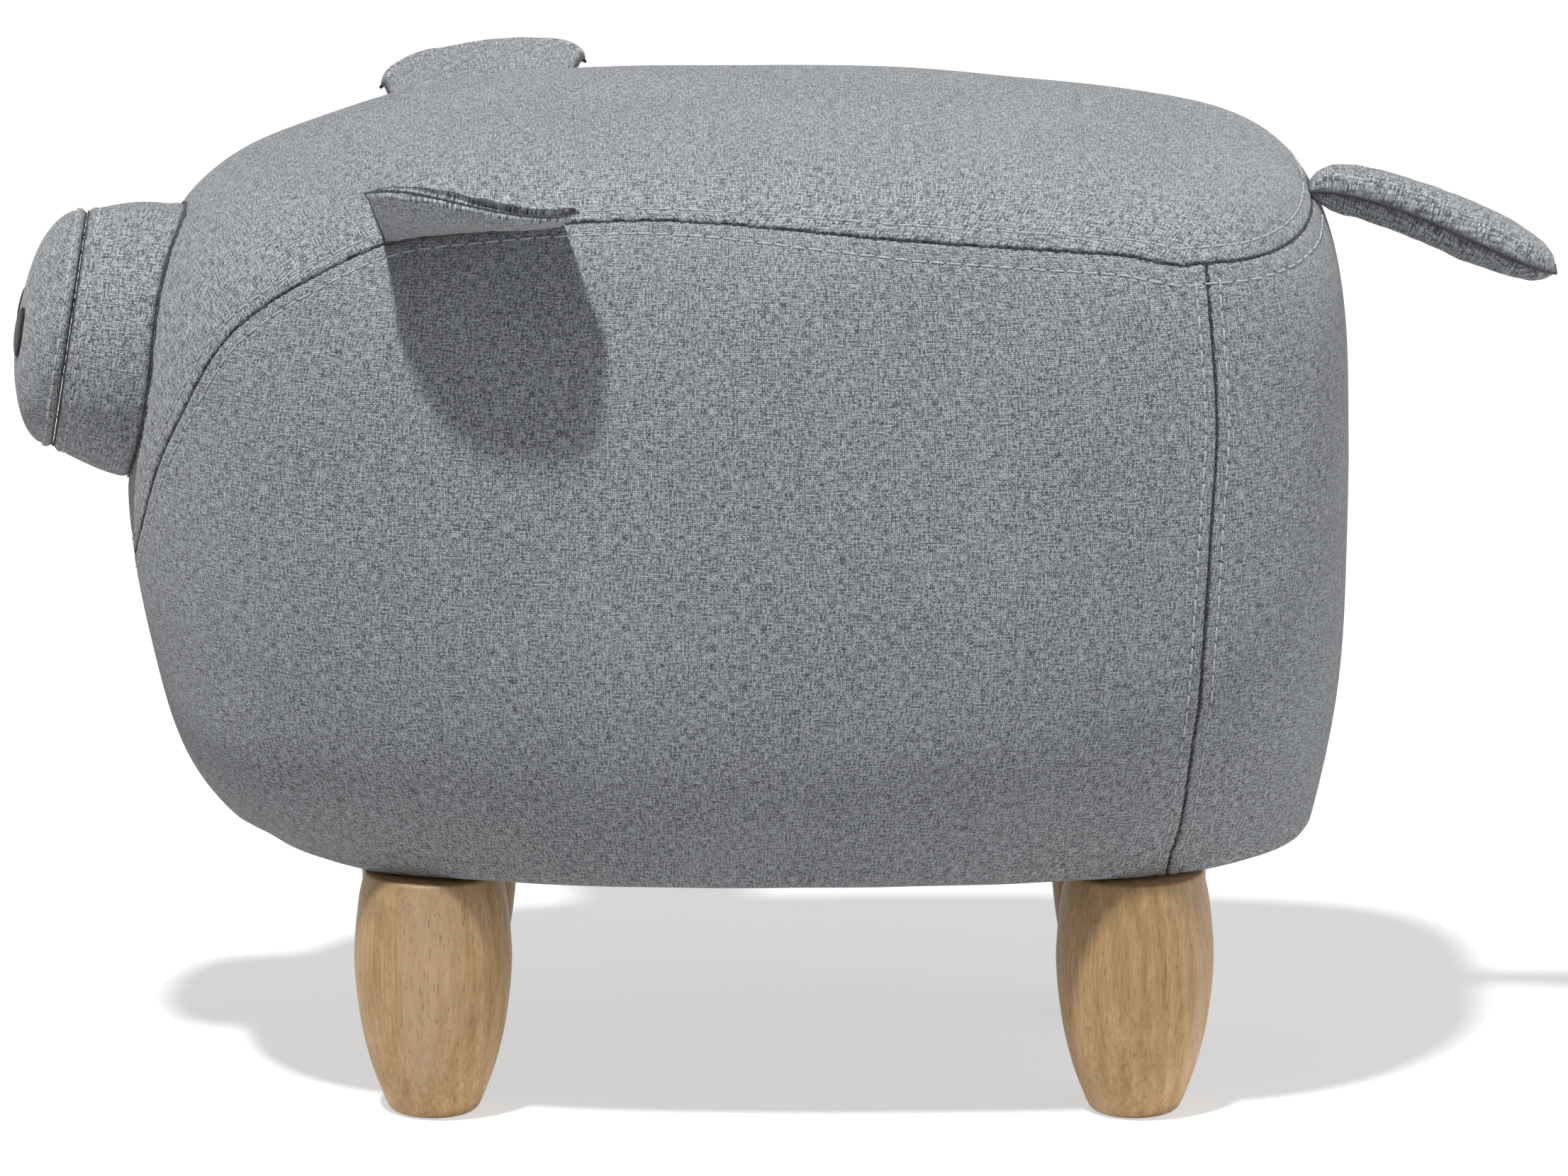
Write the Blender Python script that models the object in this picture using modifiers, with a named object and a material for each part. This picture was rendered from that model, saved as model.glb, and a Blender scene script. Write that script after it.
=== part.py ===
"""Animal footstool: an upholstered pig on four turned legs, as separate parts.

X runs along the animal with its head at -X, Y runs across it and Z is up. The origin is on
the floor under the middle of the overall length. All sizes are in metres.
"""

import math

import bmesh
import bpy
from mathutils import Matrix, Vector

# Overall sizes
BODY_LENGTH = 0.4780
BODY_WIDTH = 0.2680
CROWN_HEIGHT = 0.3870
SNOUT_REACH = 0.0420
TAIL_REACH = 0.0800

# Sheet materials, and the clearances between pieces
FABRIC = 0.0016
DUST_COVER = 0.0008
CLEARANCE = 0.0003
SEAM_GAP = 0.0003
OVERRUN = 0.0200

# Body form
BELLY_SHARE = 0.4751
BROW_DROP = 0.0132
BROW_RUN = 0.0790
BROW_START_SHARE = 0.29
RUMP_DROP = 0.0090
RUMP_RUN = 0.1000
RUMP_START_SHARE = 0.63
PLAN_POWERS = {"front": 2.8, "rear": 3.8}
UPPER_POWERS = {"front": 5.2, "flank": 5.05, "rear": 8.3}
HEM_PLAN_POWERS = {"front": 2.45, "rear": 2.75}
TUCKS = {"front": 0.053, "flank": 0.030, "rear": 0.013}
TUCK_POWERS = {"front": 2.5, "flank": 3.2, "rear": 4.2}
HEM_CREASE = 0.95
BODY_CUTS = (8, 6, 5)

# Side seam in side view, as shares of the body's length from the nose end and of the height
# between the underside and the crown
SIDE_SEAM_SHARES = (
    (0.0040, 0.3300),
    (0.0105, 0.3900),
    (0.0205, 0.4700),
    (0.0330, 0.5520),
    (0.0520, 0.6320),
    (0.0780, 0.7200),
    (0.1065, 0.7790),
    (0.1545, 0.8380),
    (0.2210, 0.8930),
    (0.3000, 0.9170),
    (0.4030, 0.9300),
    (0.4760, 0.9290),
    (0.5550, 0.9190),
    (0.6440, 0.9060),
    (0.7360, 0.8950),
    (0.8120, 0.8830),
    (0.8550, 0.8680),
    (0.8770, 0.8676),
    (0.9210, 0.8650),
    (0.9660, 0.8720),
    (1.0300, 0.8900),
)

# Upright seam between the side and rear panels, the same way
REAR_SEAM_SHARES = (
    (0.8460, -0.0600),
    (0.8525, 0.0230),
    (0.8570, 0.0510),
    (0.8620, 0.0860),
    (0.8700, 0.2000),
    (0.8755, 0.2770),
    (0.8835, 0.5140),
    (0.8875, 0.6670),
    (0.8790, 0.8660),
    (0.8740, 1.0600),
)

# Snout, as stations along its axis from the face to the cap seam
SNOUT_HEIGHT_SHARE = 0.6691
SNOUT_TILT = math.radians(8.8)
SNOUT_BASE_RADIUS = 0.0540
SNOUT_CAP_RADIUS = 0.0464
SNOUT_DOME = 0.0205
SNOUT_ROOT = 0.0300
SNOUT_BULGE = 0.0015
SNOUT_SET_IN = 0.0110
DOME_POWER = 0.85
NOSTRIL_HEIGHT = 0.0200
NOSTRIL_WIDTH = 0.0130
NOSTRIL_THICKNESS = 0.0020
NOSTRIL_SPACING = 0.0360

# Tail: its root on the rear of the body's form, drawn in to the cloth, and stations from root to
# tip, as shares of its length, drop, width and thickness
TAIL_ROOT_SHARES = (1.0, 0.0, 0.9005)
TAIL_SET_IN = 0.0064
TAIL_DROP = 0.0330
TAIL_WIDTH = 0.0290
TAIL_THICKNESS = 0.0215
TAIL_STATION_SHARES = (
    (0.00, 0.00, 0.52, 0.14),
    (0.10, 0.01, 0.60, 0.72),
    (0.25, 0.10, 0.68, 0.92),
    (0.42, 0.26, 0.76, 1.00),
    (0.60, 0.48, 0.88, 1.00),
    (0.78, 0.71, 1.00, 0.93),
    (0.92, 0.90, 0.86, 0.70),
    (1.00, 1.00, 0.45, 0.30),
)
TAIL_COLUMNS = 6

# Ears: root ends on the body's form, drawn in to the side seam, and stations from front to back,
# as shares of the reach outwards and of the front lift
EAR_ROOT_SHARES = {"front": (-0.6737, 0.9406, 1.0), "back": (-0.3188, 0.9660, 1.0)}
EAR_SET_IN = 0.0039
EAR_STANDOFF = 0.0005
EAR_ROOT_BOW = 0.0022
EAR_REACH = 0.0560
EAR_SWEEP = 0.0065
EAR_THICKNESS = 0.0088
EAR_FRONT_LIFTS = {"left": 0.0340, "right": 0.0065}
EAR_BACK_LIFTS = {"left": 0.0170, "right": 0.0055}
EAR_STATION_SHARES = (
    (0.00, 0.60, 0.80),
    (0.08, 0.82, 0.97),
    (0.20, 0.95, 0.98),
    (0.36, 1.00, 0.78),
    (0.54, 1.00, 0.47),
    (0.72, 0.98, 0.22),
    (0.88, 0.88, 0.06),
    (1.00, 0.62, -0.05),
)
EAR_ROWS = 6

# Thin covers of the ears and tail, and their sewn edge
COVER = 0.0010
RIM = 0.0030
PLUMP_POWER = 2.4
EAR_CURL = 0.8
END_MARGIN = 0.04

# Wooden frame, set in from the body's ends by shares of its length and from its flanks by a share
# of its width
FRAME_INSET_SHARES = {"front": 0.1977, "rear": 0.1224, "flank": 0.1679}
END_BOARD_INSET = 0.0090
FRAME_CORNER = 0.0500
PLY = 0.0150
SIDE_PLY = 0.0120
SEAT_PLY = 0.0120
SEAT_PADDING = 0.0550
BLOCK_SIZE = 0.0280
BLOCK_HEIGHT = 0.0600
BASE_EDGE = 0.0100

# Dust cover, set in from the frame, and the cloth turned under above it
DUST_INSETS = {"front": 0.0135, "rear": 0.0115, "flank": 0.0090}
DUST_CORNER = 0.0120
HEM_TURNS = {"end": 0.0550, "flank": 0.0400}
HEM_CORNER_SHARE = 0.5

# Legs
LEG_HEIGHT = 0.0970
LEG_TOP_RADIUS = 0.0265
LEG_BELLY_RADIUS = 0.0307
LEG_FOOT_RADIUS = 0.0185
LEG_EDGE_RADIUS = 0.0045
LEG_TOP_EASE = 0.0010
LEG_STATION_SHARES = (
    (0.880, 0.86),
    (0.760, 0.92),
    (0.640, 1.00),
    (0.480, 0.90),
    (0.320, 0.58),
    (0.170, 0.20),
)

# Leg bolts and their nuts
BOLT_RADIUS = 0.0040
BOLT_IN_LEG = 0.0350
BOLT_TIP = 0.0015
NUT_FLANGE_RADIUS = 0.0085
NUT_FLANGE = 0.0015
NUT_BARREL_RADIUS = 0.0052
NUT_BARREL = 0.0100
NUT_ROOMS = {"front": 0.0035, "rear": 0.0015, "flank": 0.0005}

# Frame screws
SCREW_RADIUS = 0.0020
SCREW_LENGTH = 0.0350
SCREW_HEAD_RADIUS = 0.0040
SCREW_HEAD = 0.0024
SCREW_TIP = 0.0040
SCREW_SPACING = 0.1000

# Fineness of the round shapes
SEAM_STEPS = 1
LEG_SIDES = 24
BOLT_SIDES = 12
SCREW_SIDES = 10
SNOUT_SIDES = 24
NOSTRIL_SIDES = 16
DOME_STEPS = 5
SLEEVE_STEPS = 3

# Looks: colour, roughness and metal
CLOTH = ((0.42, 0.45, 0.48), 0.95)
BLACK_CLOTH = ((0.02, 0.02, 0.022), 0.9)
LINING = ((0.03, 0.03, 0.03), 0.95)
FOAM = ((0.82, 0.78, 0.62), 0.95)
FILLING = ((0.9, 0.9, 0.88), 0.95)
PLAIN_WOOD = ((0.62, 0.46, 0.28), 0.7)
LEG_WOOD = ((0.66, 0.45, 0.26), 0.5)
STEEL = ((0.62, 0.62, 0.64), 0.35, 1.0)

body_rear_x = (BODY_LENGTH + SNOUT_REACH + TAIL_REACH) / 2 - TAIL_REACH
body_front_x = body_rear_x - BODY_LENGTH
body_centre_x = body_rear_x - BODY_LENGTH / 2
underside = LEG_HEIGHT + CLEARANCE + DUST_COVER + CLEARANCE
body_height = CROWN_HEIGHT - underside
belly_height = underside + BELLY_SHARE * body_height
base_low = underside + FABRIC + CLEARANCE
base_top = base_low + PLY
seat_top = CROWN_HEIGHT - SEAT_PADDING
seat_low = seat_top - SEAT_PLY
frame_front = body_front_x + FRAME_INSET_SHARES["front"] * BODY_LENGTH
frame_rear = body_rear_x - FRAME_INSET_SHARES["rear"] * BODY_LENGTH
frame_side = BODY_WIDTH / 2 - FRAME_INSET_SHARES["flank"] * BODY_WIDTH
brow_start_x = body_front_x + BROW_START_SHARE * BODY_LENGTH
rump_start_x = body_front_x + RUMP_START_SHARE * BODY_LENGTH
snout_base_x = body_front_x + SNOUT_SET_IN
snout_height = underside + SNOUT_HEIGHT_SHARE * body_height
snout_sleeve = (
    (SNOUT_SET_IN + SNOUT_REACH - NOSTRIL_THICKNESS) / math.cos(SNOUT_TILT) - SNOUT_DOME
)
leg_front = frame_front + PLY + NUT_ROOMS["front"] + NUT_FLANGE_RADIUS
leg_rear = frame_rear - PLY - NUT_ROOMS["rear"] - NUT_FLANGE_RADIUS
leg_side = frame_side - SIDE_PLY - NUT_ROOMS["flank"] - NUT_FLANGE_RADIUS
leg_places = {
    "front_left": (leg_front, -leg_side),
    "front_right": (leg_front, leg_side),
    "rear_left": (leg_rear, -leg_side),
    "rear_right": (leg_rear, leg_side),
}


def new_collection(name, hidden=False):
    collection = bpy.data.collections.new(name)
    collection.hide_render = hidden
    bpy.context.scene.collection.children.link(collection)
    return collection


def new_material(name, colour, roughness, metallic=0.0):
    material = bpy.data.materials.new(name)
    material.use_nodes = True
    shader = material.node_tree.nodes["Principled BSDF"]
    shader.inputs["Base Color"].default_value = (*colour, 1.0)
    shader.inputs["Roughness"].default_value = roughness
    shader.inputs["Metallic"].default_value = metallic
    return material


def add_part(name, bm, look, smooth_angle=math.radians(40)):
    """Turn a bmesh into a named part with its own material."""
    mesh = bpy.data.meshes.new(name)
    bm.to_mesh(mesh)
    bm.free()
    mesh.shade_smooth()
    mesh.set_sharp_from_angle(angle=smooth_angle)
    mesh.materials.append(new_material(name, *look))
    part = bpy.data.objects.new(name, mesh)
    stool.objects.link(part)
    return part


def add_cutter(name, bm):
    mesh = bpy.data.meshes.new(name)
    bm.to_mesh(mesh)
    bm.free()
    cutter = bpy.data.objects.new(name, mesh)
    cutter.hide_render = True
    cutter.display_type = "WIRE"
    cutters.objects.link(cutter)
    return cutter


def cut(part, cutter, operation="DIFFERENCE"):
    boolean = part.modifiers.new(cutter.name, "BOOLEAN")
    boolean.operation = operation
    boolean.object = cutter


def subdivide(part, levels=1):
    smooth = part.modifiers.new("soft", "SUBSURF")
    smooth.levels = levels
    smooth.render_levels = levels


def box_mesh(low, high, corner=0.0, edge=0.0):
    """A box between two corners, with rounded upright corners or small eased edges."""
    bm = bmesh.new()
    bmesh.ops.create_cube(bm, size=1.0)
    low, high = Vector(low), Vector(high)
    bmesh.ops.scale(bm, vec=high - low, verts=bm.verts)
    bmesh.ops.translate(bm, vec=(low + high) / 2, verts=bm.verts)
    if corner:
        upright = [e for e in bm.edges if abs(e.verts[0].co.z - e.verts[1].co.z) > corner / 4]
        bmesh.ops.bevel(
            bm, geom=upright, offset=corner, segments=5, profile=0.5, affect="EDGES", material=-1
        )
    if edge:
        rim = [e for e in bm.edges if all(v.co.z < low.z + edge / 4 for v in e.verts)]
        bmesh.ops.bevel(
            bm, geom=rim, offset=edge, segments=1, profile=0.5, affect="EDGES", material=-1
        )
    return bm


def smooth_line(points, steps=4):
    """Points along one smooth curve through the given ones."""
    ends = [points[0], *points, points[-1]]
    line = []
    for before, start, end, after in zip(ends, ends[1:], ends[2:], ends[3:]):
        for step in range(steps):
            t = step / steps
            line.append(
                tuple(
                    0.5 * (2 * b + (c - a) * t + (2 * a - 5 * b + 4 * c - d) * t**2
                           + (3 * b - a - 3 * c + d) * t**3)
                    for a, b, c, d in zip(before, start, end, after)
                )
            )
    return [*line, points[-1]]


def beside(line, distance):
    """The line moved to its left by a distance."""
    moved = []
    for index, (x, z) in enumerate(line):
        ahead = line[min(index + 1, len(line) - 1)]
        behind = line[max(index - 1, 0)]
        along = Vector((ahead[0] - behind[0], ahead[1] - behind[1])).normalized()
        moved.append((x - along.y * distance, z + along.x * distance))
    return moved


def prism_mesh(outline, near_y, far_y):
    """A solid of one side-view outline, from near_y to far_y."""
    bm = bmesh.new()
    loop = [bm.verts.new((x, near_y, z)) for x, z in outline]
    face = bm.faces.new(loop)
    grown = bmesh.ops.extrude_face_region(bm, geom=[face])
    moved = [item for item in grown["geom"] if isinstance(item, bmesh.types.BMVert)]
    bmesh.ops.translate(bm, vec=(0, far_y - near_y, 0), verts=moved)
    bmesh.ops.recalc_face_normals(bm, faces=bm.faces)
    return bm


def turned_mesh(profile, steps):
    """Spin a profile of (radius, height), listed from the top down, about the Z axis."""
    bm = bmesh.new()
    line = [bm.verts.new((radius, 0, height)) for radius, height in profile]
    edges = [bm.edges.new(pair) for pair in zip(line, line[1:])]
    bmesh.ops.spin(
        bm, geom=line + edges, cent=(0, 0, 0), axis=(0, 0, 1), angle=math.tau, steps=steps,
        use_merge=True,
    )
    bmesh.ops.remove_doubles(bm, verts=bm.verts, dist=CLEARANCE / 100)
    bmesh.ops.recalc_face_normals(bm, faces=bm.faces)
    return bm


def placed(bm, place, turn=None):
    if turn is not None:
        bmesh.ops.rotate(bm, matrix=turn, verts=bm.verts)
    bmesh.ops.translate(bm, vec=place, verts=bm.verts)
    return bm


def blend_share(value):
    """A smooth step from 0 to 1."""
    value = min(max(value, 0.0), 1.0)
    return value * value * (3 - 2 * value)


def body_point(unit, inset):
    """A point of the unit cube's skin, moved onto the body drawn in by an inset."""
    u, v, w = unit
    half = "front" if u < 0 else "rear"
    tuck = max(-w, 0.0)
    plan = PLAN_POWERS[half] + (HEM_PLAN_POWERS[half] - PLAN_POWERS[half]) * tuck
    across = abs(u) ** plan + abs(v) ** plan
    reach = across ** (1 / plan)
    if w > 0:
        endwise = abs(u) ** plan / across if across else 0.0
        power = UPPER_POWERS["flank"] + (UPPER_POWERS[half] - UPPER_POWERS["flank"]) * endwise
        size = (reach**power + w**power) ** (1 / power)
    else:
        size = reach / max(abs(u), abs(v)) if reach else 1.0
    length = BODY_LENGTH / 2 - inset - TUCKS[half] * tuck ** TUCK_POWERS[half]
    width = BODY_WIDTH / 2 - inset - TUCKS["flank"] * tuck ** TUCK_POWERS["flank"]
    x = body_centre_x + u / size * length
    if w > 0:
        brow = BROW_DROP * blend_share((brow_start_x - x) / BROW_RUN)
        rump = RUMP_DROP * blend_share((x - rump_start_x) / RUMP_RUN)
        rise = w / size * (CROWN_HEIGHT - brow - rump - belly_height - inset)
    else:
        rise = w * (belly_height - underside - inset)
    return Vector((x, v / size * width, belly_height + rise))


def cube_grid(cuts):
    """A cube from -1 to 1 whose edges along X, Y and Z are cut into so many lengths."""
    bm = bmesh.new()
    bmesh.ops.create_cube(bm, size=2.0)
    for axis, count in enumerate(cuts):
        along = [e for e in bm.edges if abs(e.verts[0].co[axis] - e.verts[1].co[axis]) > 1]
        bmesh.ops.subdivide_edges(bm, edges=along, cuts=count - 1, use_grid_fill=True)
    return bm


def body_mesh(inset=0.0):
    bm = cube_grid(BODY_CUTS)
    crease = bm.edges.layers.float.new("crease_edge")
    for edge in bm.edges:
        low, sides = zip(*((v.co.z < -0.999, max(abs(v.co.x), abs(v.co.y))) for v in edge.verts))
        middle = (edge.verts[0].co + edge.verts[1].co) / 2
        if all(low) and min(sides) > 0.999 and max(abs(middle.x), abs(middle.y)) > 0.999:
            edge[crease] = HEM_CREASE
    for vert in bm.verts:
        vert.co = body_point(vert.co, inset)
    return bm


def sides_view(shares):
    """Shares of the body's length and height as (x, z) places, drawn as one smooth line."""
    return smooth_line(
        [(body_front_x + along * BODY_LENGTH, underside + up * body_height) for along, up in shares],
        SEAM_STEPS,
    )


def leg_bore_mesh(place):
    """The room that a leg bolt and its nut take up in the boards and cloth over a leg."""
    nut_low = base_top - NUT_BARREL - CLEARANCE
    wide, narrow = NUT_BARREL_RADIUS + CLEARANCE, BOLT_RADIUS + 2 * CLEARANCE
    profile = (
        (0, base_top + OVERRUN),
        (wide, base_top + OVERRUN),
        (wide, nut_low),
        (narrow, nut_low),
        (narrow, LEG_HEIGHT - OVERRUN),
        (0, LEG_HEIGHT - OVERRUN),
    )
    return placed(turned_mesh(profile, BOLT_SIDES), (*place, 0))


def make_cutters():
    """Shapes that more than one part is cut by."""
    rear_x, front_x = body_rear_x + 2 * OVERRUN, body_front_x - 2 * OVERRUN
    low, high = underside - 2 * OVERRUN, CROWN_HEIGHT + 2 * OVERRUN
    side = BODY_WIDTH / 2 + OVERRUN
    hem_side = frame_side - DUST_INSETS["flank"] - HEM_TURNS["flank"]
    seam, rear_seam = sides_view(SIDE_SEAM_SHARES), sides_view(REAR_SEAM_SHARES)
    above = beside(seam, SEAM_GAP / 2)
    below = beside(seam, -SEAM_GAP / 2)
    ahead = beside(rear_seam, SEAM_GAP / 2)
    behind = beside(rear_seam, -SEAM_GAP / 2)
    above = [(front_x, above[0][1]), *above, (rear_x, above[-1][1]), (rear_x, high), (front_x, high)]
    below = [(front_x, below[0][1]), *below, (rear_x, below[-1][1]), (rear_x, low), (front_x, low)]
    ahead = [(ahead[0][0], low), *ahead, (ahead[-1][0], high), (front_x, high), (front_x, low)]
    behind = [(behind[0][0], low), *behind, (behind[-1][0], high), (rear_x, high), (rear_x, low)]
    shapes = {
        "above_seam": prism_mesh(above, -side, side),
        "below_seam": prism_mesh(below, -side, side),
        "below_seam_left": prism_mesh(below, -side, -SEAM_GAP / 2),
        "below_seam_right": prism_mesh(below, SEAM_GAP / 2, side),
        "ahead_of_rear_seam": prism_mesh(ahead, -side, side),
        "behind_rear_seam": prism_mesh(behind, -side, side),
        "inside_panels": body_mesh(FABRIC),
        "around_panels": body_mesh(-CLEARANCE),
        "hem_opening": box_mesh(
            (frame_front + DUST_INSETS["front"] + HEM_TURNS["end"], -hem_side, low),
            (frame_rear - DUST_INSETS["rear"] - HEM_TURNS["end"], hem_side, base_low + FABRIC),
            corner=HEM_CORNER_SHARE * hem_side,
        ),
    }
    for name, place in leg_places.items():
        shapes[f"leg_bore_{name}"] = leg_bore_mesh(place)
    made = {name: add_cutter(name, bm) for name, bm in shapes.items()}
    subdivide(made["inside_panels"])
    subdivide(made["around_panels"])
    return made


def make_panels(shapes):
    """The sewn cloth of the body."""
    pieces = {
        "top_panel": ("above_seam",),
        "side_panel_left": ("below_seam_left", "ahead_of_rear_seam"),
        "side_panel_right": ("below_seam_right", "ahead_of_rear_seam"),
        "rear_panel": ("below_seam", "behind_rear_seam"),
    }
    for name, kept in pieces.items():
        panel = add_part(name, body_mesh(), CLOTH)
        subdivide(panel)
        for cutter in kept:
            cut(panel, shapes[cutter], "INTERSECT")
        cut(panel, shapes["inside_panels"])
        if name.startswith("side_panel"):
            cut(panel, shapes["hem_opening"])
            side = name.rpartition("_")[2]
            for end in ("front", "rear"):
                cut(panel, shapes[f"leg_bore_{end}_{side}"])


def make_foam():
    """The padding between the cloth and the frame, in five cut pieces."""
    gap, out = CLEARANCE, BODY_LENGTH
    front, rear, top = frame_front - gap, frame_rear + gap, seat_top
    side = frame_side + gap
    end_side = side - END_BOARD_INSET
    regions = {
        "seat_foam": ((-out, -out, top + gap), (out, out, out)),
        "head_foam": ((-out, -out, 0), (front, out, top)),
        "rear_foam": ((rear, -out, 0), (out, out, top)),
        "side_foam_left": ((front + gap, -out, 0), (rear - gap, -end_side, top)),
        "side_foam_right": ((front + gap, end_side, 0), (rear - gap, out, top)),
    }
    front_in, rear_in, shelf = front + PLY, rear - PLY, seat_low - gap
    room = [(front_in, underside), (rear_in, underside), (rear_in, shelf), (rear, shelf)]
    room += [(rear, out), (front, out), (front, shelf), (front_in, shelf)]
    frame_room = add_cutter("frame_room", prism_mesh(room, -side, side))
    for name, corners in regions.items():
        foam = add_part(name, body_mesh(FABRIC + 2 * CLEARANCE), FOAM)
        subdivide(foam)
        if name.startswith("side_foam"):
            cut(foam, frame_room)
        cut(foam, add_cutter(f"{name}_region", box_mesh(*corners)), "INTERSECT")


def screw_mesh(grown=0.0):
    """A countersunk screw, head up, with the top of its head at the origin."""
    radius, head = SCREW_RADIUS + grown, SCREW_HEAD_RADIUS + grown
    profile = (
        (0, grown),
        (head, grown),
        (head, -grown),
        (radius, -SCREW_HEAD),
        (radius, SCREW_TIP - SCREW_LENGTH),
        (0, -SCREW_LENGTH - 2 * grown),
    )
    return turned_mesh(profile, SCREW_SIDES)


def make_screws(boards):
    """Screws through the base and seat boards into the end boards."""
    turned_over = Matrix.Rotation(math.pi, 4, "X")
    levels = {
        "base": (base_low, turned_over, boards["base_board"]),
        "seat": (seat_top, Matrix.Identity(4), boards["seat_board"]),
    }
    ends = {"front": frame_front + PLY / 2, "rear": frame_rear - PLY / 2}
    sides = {"left": -SCREW_SPACING / 2, "right": SCREW_SPACING / 2}
    for level, (z, turn, board) in levels.items():
        for end, x in ends.items():
            for side, y in sides.items():
                name = f"{level}_screw_{end}_{side}"
                add_part(name, placed(screw_mesh(), (x, y, z), turn), STEEL)
                bore = add_cutter(f"{name}_bore", placed(screw_mesh(CLEARANCE), (x, y, z), turn))
                cut(board, bore)
                cut(boards[f"{end}_board"], bore)


def make_frame(shapes):
    """The wooden box inside the body, and the screws that hold it together."""
    half = frame_side
    gap = CLEARANCE
    low, high = base_top + gap, seat_low - gap
    front_in, rear_in, side_in = frame_front + PLY, frame_rear - PLY, half - SIDE_PLY
    end = half - END_BOARD_INSET
    boards = {
        "base_board": box_mesh(
            (frame_front, -half, base_low), (frame_rear, half, base_top), FRAME_CORNER, BASE_EDGE
        ),
        "seat_board": box_mesh((frame_front, -half, seat_low), (frame_rear, half, seat_top)),
        "front_board": box_mesh((frame_front, -end, low), (front_in, end, high)),
        "rear_board": box_mesh((rear_in, -end, low), (frame_rear, end, high)),
        "side_board_left": box_mesh((front_in + gap, -half, low), (rear_in - gap, -side_in, high)),
        "side_board_right": box_mesh((front_in + gap, side_in, low), (rear_in - gap, half, high)),
    }
    for place, x in (("front", front_in + gap), ("rear", rear_in - gap - BLOCK_SIZE)):
        for side, y in (("left", gap - side_in), ("right", side_in - gap - BLOCK_SIZE)):
            boards[f"corner_block_{place}_{side}"] = box_mesh(
                (x, y, high - BLOCK_HEIGHT), (x + BLOCK_SIZE, y + BLOCK_SIZE, high)
            )
    boards = {name: add_part(name, bm, PLAIN_WOOD) for name, bm in boards.items()}
    for name in leg_places:
        cut(boards["base_board"], shapes[f"leg_bore_{name}"])
    make_screws(boards)


def make_legs():
    """Turned legs, each on a bolt that runs up into a nut set in the base board."""
    foot, bore = LEG_FOOT_RADIUS - LEG_EDGE_RADIUS, BOLT_RADIUS + CLEARANCE
    swell = LEG_BELLY_RADIUS - LEG_FOOT_RADIUS
    outline = [(0, LEG_HEIGHT - BOLT_IN_LEG - CLEARANCE), (bore, LEG_HEIGHT - BOLT_IN_LEG - CLEARANCE)]
    outline += [(bore, LEG_HEIGHT), (LEG_TOP_RADIUS - LEG_TOP_EASE, LEG_HEIGHT)]
    outline += [(LEG_TOP_RADIUS, LEG_HEIGHT - LEG_TOP_EASE)]
    outline += [(LEG_FOOT_RADIUS + swell * out, LEG_HEIGHT * up) for up, out in LEG_STATION_SHARES]
    outline += [(LEG_FOOT_RADIUS, LEG_EDGE_RADIUS)]
    outline += [(foot + LEG_EDGE_RADIUS * math.sin(math.pi / 4),
                 LEG_EDGE_RADIUS * (1 - math.cos(math.pi / 4)))]
    outline += [(foot, 0), (0, 0)]
    bolt_top, bolt_low = base_top + NUT_FLANGE + BOLT_TIP, LEG_HEIGHT - BOLT_IN_LEG
    bolt = (
        (0, bolt_top),
        (BOLT_RADIUS - BOLT_TIP, bolt_top),
        (BOLT_RADIUS, bolt_top - BOLT_TIP),
        (BOLT_RADIUS, bolt_low + BOLT_TIP),
        (BOLT_RADIUS - BOLT_TIP, bolt_low),
        (0, bolt_low),
    )
    nut_top, nut_face = base_top + CLEARANCE + NUT_FLANGE, base_top + CLEARANCE
    nut = (
        (bore, nut_top),
        (NUT_FLANGE_RADIUS, nut_top),
        (NUT_FLANGE_RADIUS, nut_face),
        (NUT_BARREL_RADIUS, nut_face),
        (NUT_BARREL_RADIUS, base_top - NUT_BARREL),
        (bore, base_top - NUT_BARREL),
        (bore, nut_top),
    )
    for name, place in leg_places.items():
        add_part(f"leg_{name}", placed(turned_mesh(outline, LEG_SIDES), (*place, 0)), LEG_WOOD)
        add_part(f"leg_bolt_{name}", placed(turned_mesh(bolt, BOLT_SIDES), (*place, 0)), STEEL)
        add_part(f"leg_nut_{name}", placed(turned_mesh(nut, BOLT_SIDES), (*place, 0)), STEEL)


def make_dust_cover(shapes):
    low, side = LEG_HEIGHT + CLEARANCE, frame_side - DUST_INSETS["flank"]
    sheet = box_mesh(
        (frame_front + DUST_INSETS["front"], -side, low),
        (frame_rear - DUST_INSETS["rear"], side, low + DUST_COVER),
        corner=DUST_CORNER,
    )
    cover = add_part("dust_cover", sheet, LINING)
    for name in leg_places:
        cut(cover, shapes[f"leg_bore_{name}"])


def dome_profile(grown=0.0):
    """The snout's front as (radius, distance along the axis), from the middle outwards."""
    points = []
    for step in range(DOME_STEPS + 1):
        turn = math.pi / 2 * step / DOME_STEPS
        points.append(
            ((SNOUT_CAP_RADIUS + grown) * math.sin(turn),
             snout_sleeve + (SNOUT_DOME + grown) * math.cos(turn) ** DOME_POWER)
        )
    return points


def sleeve_profile(grown=0.0, back=0.0):
    """The snout's side from the cap seam back to the root."""
    points = []
    for step in range(SLEEVE_STEPS + 1):
        share = step / SLEEVE_STEPS
        bulge = SNOUT_BULGE * math.sin(math.pi * share)
        radius = SNOUT_CAP_RADIUS + (SNOUT_BASE_RADIUS - SNOUT_CAP_RADIUS) * share + bulge + grown
        points.append((radius, snout_sleeve * (1 - share) - back))
    return [*points, (SNOUT_BASE_RADIUS + grown, -SNOUT_ROOT)]


def along_snout(bm):
    turn = Matrix.Rotation(SNOUT_TILT - math.pi / 2, 4, "Y")
    return placed(bm, (snout_base_x, 0, snout_height), turn)


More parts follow.
